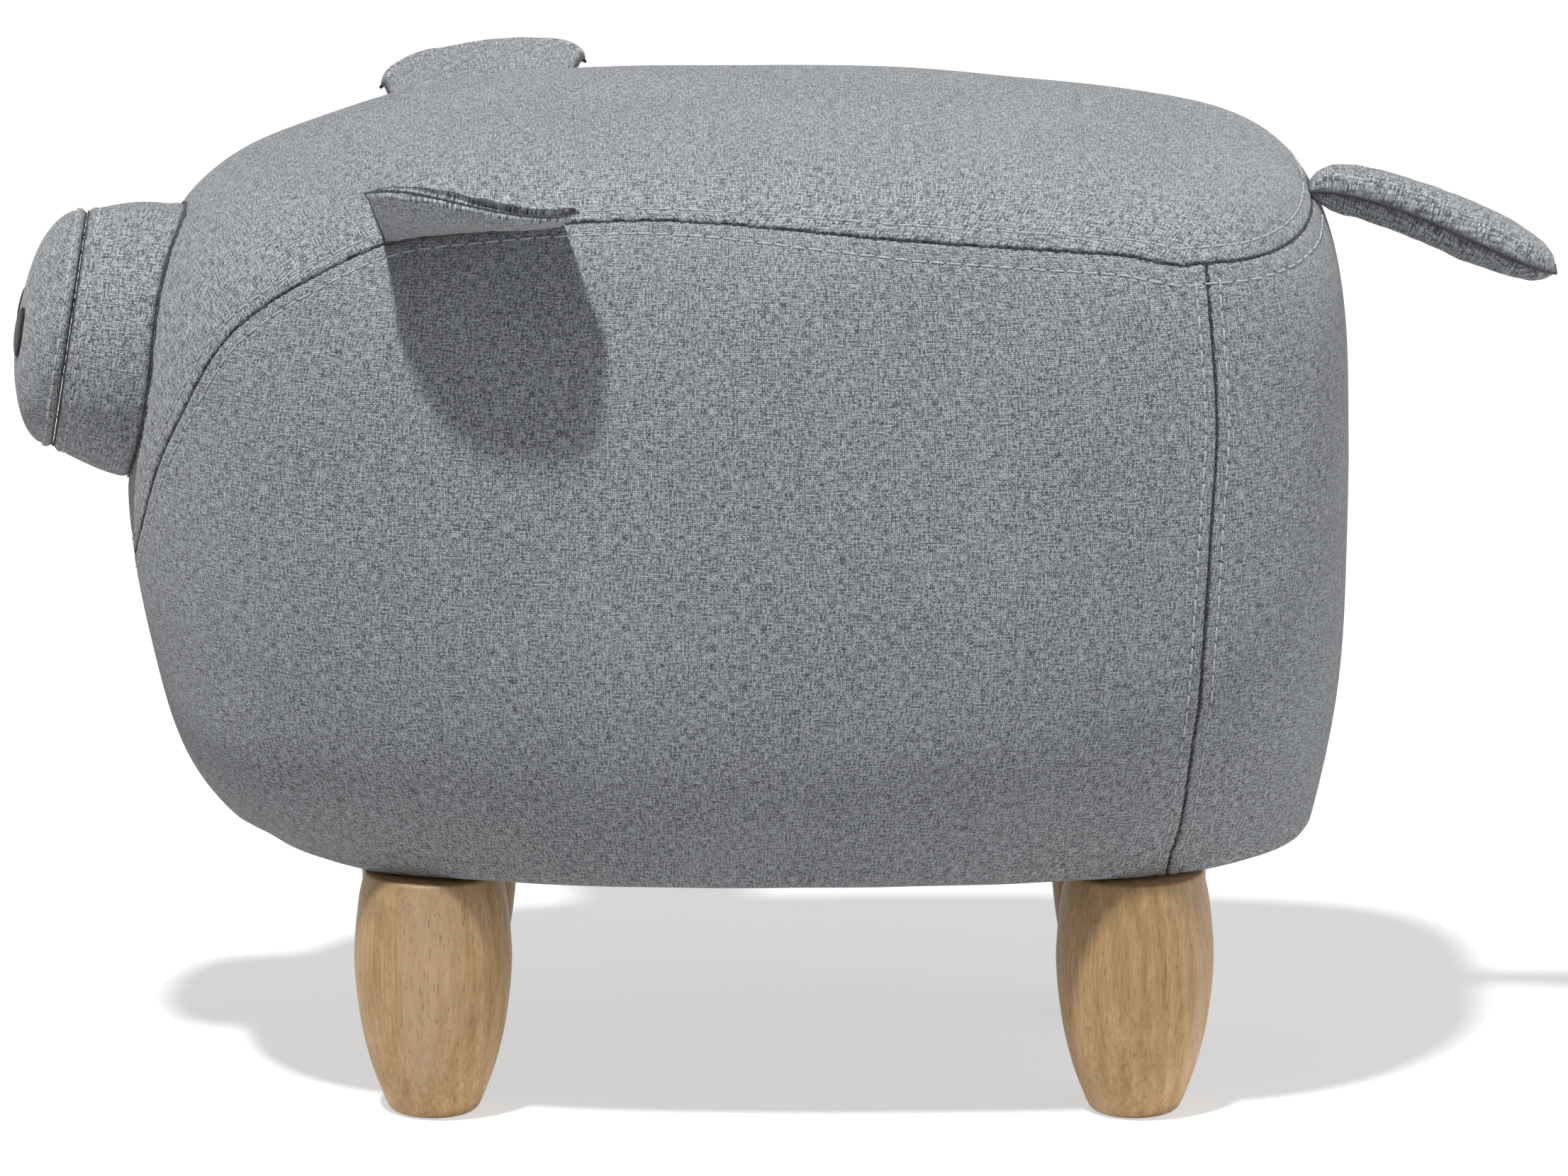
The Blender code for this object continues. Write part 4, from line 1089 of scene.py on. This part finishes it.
def ring_relief(from_ring):
    """The cap seam's groove, the ridge beside it and the dent of the topstitches."""
    return (RING_RIDGE * bell(from_ring - RIDGE_AT, 0.0014) - RING_GROOVE * bell(from_ring, 0.0009)
            - RING_DENT * bell(from_ring - DENT_AT, 0.0008))


def make_sleeve(meets):
    """The snout's side, from the cap's seam to where it meets the face."""
    rounds, rows = len(meets) - 1, 26
    bm = spun([(1.0, 1.0 - row / rows) for row in range(rows + 1)], rounds)
    shade = bm.verts.layers.float.new("seam_shade")
    weave = bm.loops.layers.uv.new("weave")
    to_snout = SNOUT_TURN.inverted()
    ends = [to_snout @ (point - SNOUT_BASE) for point in meets]
    for face in bm.faces:
        turns = [math.atan2(loop.vert.co.y, loop.vert.co.x) % math.tau for loop in face.loops]
        wrapped = max(turns) - min(turns) > math.pi
        for loop, turn in zip(face.loops, turns):
            turn = turn + math.tau if wrapped and turn < math.pi else turn
            loop[weave].uv = (turn * SNOUT_CAP_RADIUS * 1.05, loop.vert.co.z * SNOUT_SLEEVE)
    for vert in bm.verts:
        turn = math.atan2(vert.co.y, vert.co.x) % math.tau
        share = 1.0 - vert.co.z
        end = ends[round(turn / math.tau * rounds) % rounds]
        height = SNOUT_SLEEVE + (end.z - SNOUT_SLEEVE) * share
        radius = sleeve_radius((SNOUT_SLEEVE - end.z) / SNOUT_SLEEVE * share)
        from_cap = SNOUT_SLEEVE - height
        from_face = (1 - share) * (SNOUT_SLEEVE - end.z)
        arc = turn * SNOUT_CAP_RADIUS
        gathers = puckers(arc, from_cap, 0.0042, 0.009, (21.0, 23.0))
        face_gathers = wrinkle(arc / 0.007, from_face / 0.015, 31.0)
        rise = ring_relief(from_cap) - RING_GROOVE_FACE * bell(from_face, 0.0012)
        rise += 0.0007 * gathers * math.exp(-from_cap / 0.013)
        rise += 0.0005 * face_gathers * math.exp(-from_face / 0.008)
        rise += 0.0006 * wrinkle(arc / 0.03, from_cap / 0.02, 37.0)
        vert[shade] = max(bell(from_cap, RING_SHADE), bell(from_face, RING_SHADE_FACE))
        out = radius + rise
        vert.co = along_snout((out * math.cos(turn), out * math.sin(turn), height))
    bmesh.ops.recalc_face_normals(bm, faces=bm.faces)
    sleeve = mesh_piece("snout_side", bm, grey_linen)
    turn_outwards(sleeve, SNOUT_BASE)
    thicken(sleeve, CLOTH)
    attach(sleeve, "stool")
    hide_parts("snout_sleeve")
    return sleeve


def make_cap(rounds):
    """The snout's domed front."""
    steps, quarter = 40, math.pi / 2
    bm = spun([(math.sin(quarter * step / steps), math.cos(quarter * step / steps))
               for step in range(steps + 1)], rounds, closed=False)
    shade = bm.verts.layers.float.new("seam_shade")
    weave = bm.loops.layers.uv.new("weave")
    for face in bm.faces:
        for loop in face.loops:
            x, y, z = loop.vert.co
            spread = math.acos(min(max(z, -1.0), 1.0)) / max(math.hypot(x, y), 1e-6) * 0.70
            loop[weave].uv = (0.3 + y * spread * SNOUT_CAP_RADIUS, x * spread * SNOUT_CAP_RADIUS)
    for vert in bm.verts:
        x, y, z = vert.co
        tilt = math.acos(min(max(z, 0.0), 1.0))
        turn = math.atan2(y, x) % math.tau
        from_rim = (quarter - tilt) * (SNOUT_CAP_RADIUS * 0.55)
        gathers = puckers(turn * SNOUT_CAP_RADIUS, from_rim, 0.0045, 0.01, (41.0, 43.0))
        rise = ring_relief(from_rim)
        rise += 0.0008 * gathers * math.exp(-from_rim / 0.011) * min(tilt * 2, 1.0)
        rise += 0.0005 * wrinkle(x / 0.5, y / 0.5, 47.0)
        vert[shade] = bell(from_rim, RING_SHADE)
        slope = (math.sin(tilt) * SNOUT_DOME, math.cos(tilt) * SNOUT_CAP_RADIUS)
        normal = Vector(slope).normalized()
        radius = SNOUT_CAP_RADIUS * math.sin(tilt) + normal.x * rise
        dome = SNOUT_DOME * max(math.cos(tilt), 0.0) ** DOME_POWER
        height = SNOUT_SLEEVE + CAP_LIFT + dome + normal.y * rise
        vert.co = along_snout((radius * math.cos(turn), radius * math.sin(turn), height))
    cap = mesh_piece("snout_front", bm, grey_linen)
    turn_outwards(cap, along_snout((0, 0, 0)))
    thicken(cap, CLOTH)
    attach(cap, "stool")
    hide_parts("snout_cap", "snout_filling")
    return cap


def turn_outwards(piece, centre):
    """Flip the piece's faces if they look at a point inside it."""
    bm = bmesh.new()
    bm.from_mesh(piece.data)
    bm.normal_update()
    facing = sum((face.calc_center_median() - centre).normalized().dot(face.normal)
                 for face in bm.faces)
    if facing < 0:
        bmesh.ops.reverse_faces(bm, faces=bm.faces)
    bm.to_mesh(piece.data)
    bm.free()
    piece.data.shade_smooth()


def surface_of(*pieces):
    """One search tree of several pieces' faces."""
    bm = bmesh.new()
    for piece in pieces:
        bm.from_mesh(piece.data)
    tree = BVHTree.FromBMesh(bm)
    bm.free()
    return tree


def sew_snout(cap, sleeve, meets, face_surface):
    """Strands of painted shade in the snout's two seams, and the topstitches on both sides of the
    cap's seam with painted shade in their holes.
    """
    rounds = 220

    def ring(radius, height):
        return [along_snout((radius * math.cos(math.tau * i / rounds),
                             radius * math.sin(math.tau * i / rounds), height))
                for i in range(rounds + 1)]

    surface = surface_of(cap, sleeve)
    step = SEAM_STITCH_PITCH / LAID_STEPS
    places = laid_beside(ring(SNOUT_CAP_RADIUS, SNOUT_SLEEVE + CAP_LIFT / 2), step, surface)
    strands = [seam_strand(places, *CAP_SEAM_LINE),
               seam_strand(laid_beside(meets, step, face_surface), *FACE_SEAM_LINE)]
    strand_piece("snout_seam_line", strands, seam_gap_shade, "stool")
    threads, holes = [], []
    for height, radius in ((SNOUT_SLEEVE - DENT_AT, SNOUT_CAP_RADIUS + 0.002),
                           (SNOUT_SLEEVE + CAP_STITCHES_AT, SNOUT_CAP_RADIUS + 0.001)):
        places = laid_beside(ring(radius, height), STITCH_PITCH / LAID_STEPS, surface)
        more, dark = stitches_along(places)
        threads += more
        holes += dark
    strand_piece("snout_topstitches", threads, pale_thread, "stool")
    strand_piece("snout_stitch_holes", holes, seam_gap_shade, "stool")


def make_nostrils():
    """Two black oval patches laid on the cap."""
    for side, sign in (("left", -1), ("right", 1)):
        bm = bmesh.new()
        bmesh.ops.create_uvsphere(bm, u_segments=48, v_segments=32, radius=1.0)
        for vert in bm.verts:
            x, y, z = vert.co
            up = x * NOSTRIL_HEIGHT / 2
            across = sign * NOSTRIL_SPACING / 2 + y * NOSTRIL_WIDTH / 2
            share = min(math.hypot(up, across) / SNOUT_CAP_RADIUS, 0.999)
            base = SNOUT_SLEEVE + SNOUT_DOME * math.cos(math.asin(share)) ** DOME_POWER
            stand = (NOSTRIL_THICKNESS if z > 0 else -NOSTRIL_SET_IN) * abs(z) ** NOSTRIL_EDGE_POWER
            vert.co = along_snout((up, across, base + stand))
        bmesh.ops.recalc_face_normals(bm, faces=bm.faces)
        nostril = mesh_piece(f"nostril_patch_{side}", bm, nostril_cloth)
        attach(nostril, "stool")
        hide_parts(f"nostril_{side}")


def stuffed_mesh(middle_of_piece, half_of_piece, grid, seed, fuller=1.0):
    """A closed stuffed piece: two fine grids about a middle sheet, sewn together at the rim.

    The first function gives the middle sheet's place, the second half the thickness there, how far
    the rim is and how far round it."""
    bm = bmesh.new()
    shade = bm.verts.layers.float.new("seam_shade")
    weave = bm.loops.layers.uv.new("weave")
    corners = {}
    for side in (1, -1):
        made = bmesh.ops.create_grid(bm, x_segments=grid[0], y_segments=grid[1], size=0.5)["verts"]
        for vert in made:
            corners[vert] = (vert.co.x + 0.5, vert.co.y + 0.5, side)
    delta = 0.004
    first = middle_of_piece(0.5, 0.5)
    places = {}
    for vert, (along, across, side) in corners.items():
        place = middle_of_piece(along, across)
        a0, a1 = max(along - delta, 0), min(along + delta, 1)
        c0, c1 = max(across - delta, 0), min(across + delta, 1)
        normal = (middle_of_piece(a1, across) - middle_of_piece(a0, across)).cross(
            middle_of_piece(along, c1) - middle_of_piece(along, c0)).normalized()
        if normal.z < 0:
            normal = -normal
        half, rim_distance, rim_along = half_of_piece(along, across)
        start = middle_of_piece(along, 0.5)
        u = (start - first).length * (1 if along > 0.5 else -1)
        v = (place - start).length * (1 if across > 0.5 else -1)
        for loop in vert.link_loops:
            loop[weave].uv = (u + 0.5 * (side > 0), v)
        lip = 1 - math.exp(-rim_distance / RIM_LIP)
        rise = half * lip * (fuller if side > 0 else 2 - fuller)
        gathers = puckers(rim_along, rim_distance, 0.0048, 0.0105, (seed + side, seed + 3 * side))
        reach = math.exp(-rim_distance / 0.008) * min(rim_distance / 0.0015, 1.0)
        dents = wrinkle(place.x / 0.02, place.y / 0.02, seed + 5 * side)
        rise += RIM_GATHERS * gathers * reach + RIM_DENTS * dents * min(rim_distance / 0.01, 1.0)
        vert[shade] = bell(rim_distance, RIM_SHADE)
        places[vert] = place + normal * side * max(rise, 0.0)
    for vert, place in places.items():
        vert.co = place
    bmesh.ops.remove_doubles(bm, verts=bm.verts, dist=2e-5)
    bmesh.ops.recalc_face_normals(bm, faces=bm.faces)
    return bm


def station_at(stations, along):
    """The stations' values at any share along, on smooth curves."""
    count = len(stations)
    index = max(i for i in range(count - 1) if stations[i][0] <= along + 1e-9)
    picks = [stations[min(max(index + k, 0), count - 1)] for k in (-1, 0, 1, 2)]
    (x0, *a), (x1, *b), (x2, *c), (x3, *d) = picks
    t = (along - x1) / max(x2 - x1, 1e-9)
    values = []
    for p0, p1, p2, p3 in zip(a, b, c, d):
        slope_in = (p2 - p0) / max(x2 - x0, 1e-9) * (x2 - x1)
        slope_out = (p3 - p1) / max(x3 - x1, 1e-9) * (x2 - x1)
        values.append((2 * t**3 - 3 * t**2 + 1) * p1 + (t**3 - 2 * t**2 + t) * slope_in
                      + (3 * t**2 - 2 * t**3) * p2 + (t**3 - t**2) * slope_out)
    return values


def rim_shares(along, across, length, width):
    """How far a place is from the sewn rim, and how far round it."""
    gaps = (along * length, (1 - along) * length, across * width, (1 - across) * width)
    near = min(gaps)
    side = gaps.index(near)
    run = across * width if side < 2 else along * length
    return near, run + side * 1.7


def make_ear(side):
    """A stuffed flap whose root is sewn into the side seam."""
    sign = -1 if side == "left" else 1
    front, back = (body_point((along, sign * out, up), EAR_SET_IN)
                   for along, out, up in EAR_ROOTS.values())
    stand = Vector((0, sign, 1)).normalized() * EAR_STANDOFF
    bow = stand.normalized() * EAR_ROOT_BOW
    front_lift, back_lift = EAR_FRONT_LIFTS[side], EAR_BACK_LIFTS[side]
    length = (back - front).length

    def middle_sheet(along, across):
        out, front_weight = station_at(EAR_STATIONS, along)
        rise = back_lift + (front_lift - back_lift) * front_weight
        root = front.lerp(back, along) + stand + bow * (4 * along * (1 - along))
        return root + Vector((
            -EAR_SWEEP * across * math.cos(math.pi * along),
            sign * EAR_REACH * out * math.sin(across * math.pi / 2) ** 0.9,
            rise * across**EAR_CURL - EDGE_DROOP * step_share(
                (across - EDGE_DROOP_START) / (1 - EDGE_DROOP_START)),
        ))

    def half_thickness(along, across):
        full = plump_share(across) * plump_share(END_MARGIN + (1 - 2 * END_MARGIN) * along)
        half = RIM / 2 + (EAR_THICKNESS - RIM) / 2 * full
        return half, *rim_shares(along, across, length, EAR_REACH)

    seed = 50.0 if side == "left" else 80.0
    bm = stuffed_mesh(middle_sheet, half_thickness, EAR_GRID, seed, EAR_TOP_FULLER)
    ear = mesh_piece(f"ear_{side}_flap", bm, grey_linen)
    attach(ear, f"ear_{side}")
    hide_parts(f"ear_{side}_upper_cover", f"ear_{side}_lower_cover", f"ear_{side}_filling")
    rim_line(f"ear_{side}_rim_line", middle_sheet, f"ear_{side}")


def rim_line(name, middle_sheet, body):
    """A dark strand of painted shade in the groove round a stuffed piece's rim."""
    shares = np.linspace(0, 1, 60, endpoint=False)
    outline = [(0, t) for t in shares] + [(t, 1) for t in shares]
    outline += [(1, 1 - t) for t in shares] + [(1 - t, 0) for t in shares] + [(0, 0)]
    co, _ = even_run([middle_sheet(*place) for place in outline], SEAM_STITCH_PITCH / LAID_STEPS)
    places = [(Vector(point), Vector((0, 0, 1))) for point in co]
    strand_piece(name, [seam_strand(places, *RIM_SEAM_LINE)], seam_gap_shade, body)


def make_tail():
    """A stuffed tail that droops from the back and widens towards its end."""
    root = body_point(TAIL_ROOT, TAIL_SET_IN)
    reach = BODY_REAR_X + TAIL_REACH - root.x

    def middle_sheet(along, across):
        drop_share, width, _ = station_at(TAIL_STATIONS, along)
        return Vector((root.x + along * reach, TAIL_WIDTH * width * (across - 0.5),
                       root.z - TAIL_DROP * drop_share))

    def half_thickness(along, across):
        _, width, thickness = station_at(TAIL_STATIONS, along)
        full = plump_share(across) * (TAIL_THICKNESS * thickness - RIM) / 2
        return RIM / 2 + max(full, 0.0), *rim_shares(along, across, reach, TAIL_WIDTH * width)

    bm = stuffed_mesh(middle_sheet, half_thickness, TAIL_GRID, 110.0)
    tail = mesh_piece("tail_cover", bm, grey_linen)
    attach(tail, "tail")
    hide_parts("tail_upper_cover", "tail_lower_cover", "tail_filling")
    rim_line("tail_rim_line", middle_sheet, "tail")


def make_legs():
    """Turned legs, each with a rounded foot and the bore for its bolt."""
    profile = [tuple(point) for point in smooth_line(LEG_PROFILE, 6)]
    centre = FOOT_RADIUS - FOOT_ROUND
    turns = [math.pi / 2 * k / 6 for k in range(1, 7)]
    foot = [(centre + FOOT_ROUND * math.cos(turn), FOOT_ROUND - FOOT_ROUND * math.sin(turn))
            for turn in turns]
    outline = [(0.0, BORE_BOTTOM), (BORE_RADIUS, BORE_BOTTOM), (BORE_RADIUS, LEG_HEIGHT),
               *LEG_TOP_EDGE, *profile, *foot, (0.0, 0.0)]
    for name, (x, y) in LEG_PLACES.items():
        bm = spun(outline, 96)
        bmesh.ops.translate(bm, vec=(x, y, 0), verts=bm.verts)
        leg = mesh_piece(f"turned_leg_{name}", bm, rubberwood)
        leg.data.set_sharp_from_angle(angle=math.radians(50))
        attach(leg, "stool")
        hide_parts(f"leg_{name}")


def make_foams():
    """The solids' foam blocks, with softened edges."""
    for node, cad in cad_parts.items():
        if not (node.endswith("_foam") or node.startswith("side_foam")):
            continue
        bm = bmesh.new()
        bm.from_mesh(cad.data)
        bmesh.ops.remove_doubles(bm, verts=bm.verts, dist=1e-5)
        block = mesh_piece(f"{node}_block", bm, foam)
        remesh = block.modifiers.new("cells", "REMESH")
        remesh.mode, remesh.voxel_size = "VOXEL", 0.005
        settle = block.modifiers.new("settle", "SMOOTH")
        settle.factor, settle.iterations = 0.5, 4
        bm = evaluated(block)
        bm.to_mesh(block.data)
        bm.free()
        block.modifiers.clear()
        block.data.shade_smooth()
        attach(block, "stool")
        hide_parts(node)


def make_dust_cover():
    """The stretched sheet under the base board, cut out round the leg bolts."""
    low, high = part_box("dust_cover")
    centre_x = (low.x + high.x) / 2
    length, width = high.x - low.x, high.y - low.y
    bm = bmesh.new()
    bmesh.ops.create_grid(bm, x_segments=72, y_segments=40, size=0.5)
    for vert in bm.verts:
        x, y = vert.co.x * length, vert.co.y * width
        corner_x, corner_y = length / 2 - COVER_CORNER, width / 2 - COVER_CORNER
        over_x, over_y = abs(x) - corner_x, abs(y) - corner_y
        if over_x > 0 and over_y > 0:
            reach = max(over_x, over_y) / math.hypot(over_x, over_y)
            x = math.copysign(corner_x + over_x * reach, x)
            y = math.copysign(corner_y + over_y * reach, y)
        edge = min(length / 2 - abs(x), width / 2 - abs(y))
        crease = COVER_CREASE * wrinkle(x / 0.03, y / 0.03, 5.0) * step_share(edge / 0.01)
        vert.co = (centre_x + x, y, high.z - 0.0001 + crease)
    middles = {face: face.calc_center_median() for face in bm.faces}
    holes = [face for face, at in middles.items() if near_leg(at.x, at.y, COVER_HOLE)]
    bmesh.ops.delete(bm, geom=holes, context="FACES")
    cover = mesh_piece("dust_cover_sheet", bm, lining)
    turn_outwards(cover, Vector((0, 0, 0.2)))
    thicken(cover, COVER_THICKNESS)
    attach(cover, "stool")
    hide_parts("dust_cover")


def make_staples():
    """Staples round the dust cover's edge, each turned a little."""
    low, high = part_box("dust_cover")
    end, side = STAPLES_FROM_CORNER
    rows = [(x, y, 90) for x in (low.x + STAPLE_INSET, high.x - STAPLE_INSET)
            for y in np.linspace(low.y + end, high.y - end, STAPLES_PER_END)]
    rows += [(x, y, 0) for y in (low.y + STAPLE_INSET, high.y - STAPLE_INSET)
             for x in np.linspace(low.x + side, high.x - side, STAPLES_PER_SIDE)]
    bm = bmesh.new()
    for x, y, turned in rows:
        if near_leg(x, y, STAPLE_LEG_GAP):
            continue
        turn = math.radians(turned + 14 * wrinkle(x * 90, y * 90, 2.0))
        place = Matrix.Translation((x, y, low.z - 0.0001)) @ Matrix.Rotation(turn, 4, "Z")
        size = Matrix.Diagonal((*STAPLE_SIZE, 1))
        made = bmesh.ops.create_cube(bm, size=1.0, matrix=place @ size)["verts"]
        edges = list(dict.fromkeys(edge for vert in made for edge in vert.link_edges))
        bmesh.ops.bevel(bm, geom=edges, offset=0.00015, segments=2, profile=0.5, affect="EDGES",
                        material=-1)
    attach(mesh_piece("cover_staples", bm, staple_wire), "stool")


def finish_frame():
    """Give the solids that stay their own finishes."""
    for name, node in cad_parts.items():
        if node.hide_render:
            continue
        if "bolt" in name or "nut" in name or "screw" in name:
            look = plated_steel
        elif name.endswith("filling"):
            look = fibre_fill
        else:
            look = frame_plywood
        for index in range(max(len(node.material_slots), 1)):
            if not node.material_slots:
                node.data.materials.append(look)
            else:
                node.material_slots[index].material = look


def add_node(tree, kind, *values, **settings):
    """A node with its first inputs plugged in or set. Gives its outputs."""
    node = tree.nodes.new("ShaderNode" + kind)
    for key, value in settings.items():
        setattr(node, key, value)
    for socket, value in zip(node.inputs, values):
        if isinstance(value, bpy.types.NodeSocket):
            tree.links.new(value, socket)
        else:
            socket.default_value = value
    return node.outputs


def seen_directly(tree):
    """1 for rays from the camera, by a mirror or through glass, else 0."""
    rays = add_node(tree, "LightPath")
    bent = add_node(tree, "Math", rays["Is Glossy Ray"], rays["Is Transmission Ray"],
                    operation="MAXIMUM")
    return add_node(tree, "Math", rays["Is Camera Ray"], bent[0], operation="MAXIMUM")[0]


def make_floor():
    """A wide pale floor that looks white, with the stool's shadow on it."""
    bm = bmesh.new()
    bmesh.ops.create_grid(bm, x_segments=8, y_segments=8, size=30.0)
    look = Finish("pale_floor", Roughness=0.9, Specular_IOR_Level=0.1, Emission_Color=(1, 1, 1, 1))
    tree = look.material.node_tree
    patches = look.noise(look.on_object(), 3.0, 2.0)
    seen_tone = look.mix(patches, (0.48, 0.48, 0.48), (0.52, 0.52, 0.52))
    camera_ray = add_node(tree, "LightPath")["Is Camera Ray"]
    look.finish(look.mix(camera_ray, (0.55, 0.55, 0.55), seen_tone))
    look.plug(look.shader.inputs["Emission Strength"], look.times(seen_directly(tree), FLOOR_GLOW))
    mesh_piece("floor", bm, look.material)


def make_sky():
    """White where it is seen, and a weak cool light on the stool."""
    world = bpy.data.worlds.new("studio")
    bpy.context.scene.world = world
    world.use_nodes = True
    tree = world.node_tree
    lit = tree.nodes["Background"]
    lit.inputs["Color"].default_value = (0.96, 0.98, 1.0, 1)
    lit.inputs["Strength"].default_value = SKY_STRENGTH
    white = add_node(tree, "Background", (1, 1, 1, 1), 1.0)
    sky = add_node(tree, "MixShader", seen_directly(tree), lit.outputs[0], white[0])
    tree.links.new(sky[0], tree.nodes["World Output"].inputs["Surface"])


def add_sun(name, direction, strength, width):
    light = bpy.data.lights.new(name, "SUN")
    light.energy = strength
    light.angle = math.radians(width)
    lamp = bpy.data.objects.new(name, light)
    lamp.rotation_euler = Vector(direction).to_track_quat("Z", "Y").to_euler()
    bpy.context.scene.collection.objects.link(lamp)


def make_lights():
    key_direction = (-math.tan(KEY_ROLL), -math.tan(KEY_LEAN), 1.0)
    add_sun("key", key_direction, KEY_STRENGTH, KEY_WIDTH)
    add_sun("rear_fill", FILL_DIRECTION, FILL_STRENGTH, FILL_WIDTH)


def make_camera():
    data = bpy.data.cameras.new("camera")
    data.sensor_width = SENSOR_WIDTH
    data.lens = SENSOR_WIDTH * CAMERA_DISTANCE / VIEW_WIDTH
    camera = bpy.data.objects.new("camera", data)
    back = Vector((0, -math.cos(CAMERA_ELEVATION), math.sin(CAMERA_ELEVATION)))
    camera.location = VIEW_CENTRE + back * CAMERA_DISTANCE
    camera.rotation_euler = back.to_track_quat("Z", "Y").to_euler()
    bpy.context.scene.collection.objects.link(camera)
    bpy.context.scene.camera = camera
    bpy.context.scene.view_settings.view_transform = "Standard"


make_camera()
face_surface, body_runs, snout_run = make_body()
sew_body(face_surface, body_runs)
snout_side = make_sleeve(snout_run)
snout_front = make_cap(len(snout_run) - 1)
sew_snout(snout_front, snout_side, snout_run, face_surface)
make_nostrils()
for ear_side in EAR_FRONT_LIFTS:
    make_ear(ear_side)
make_tail()
make_legs()
make_foams()
make_dust_cover()
make_staples()
finish_frame()
make_floor()
make_sky()
make_lights()
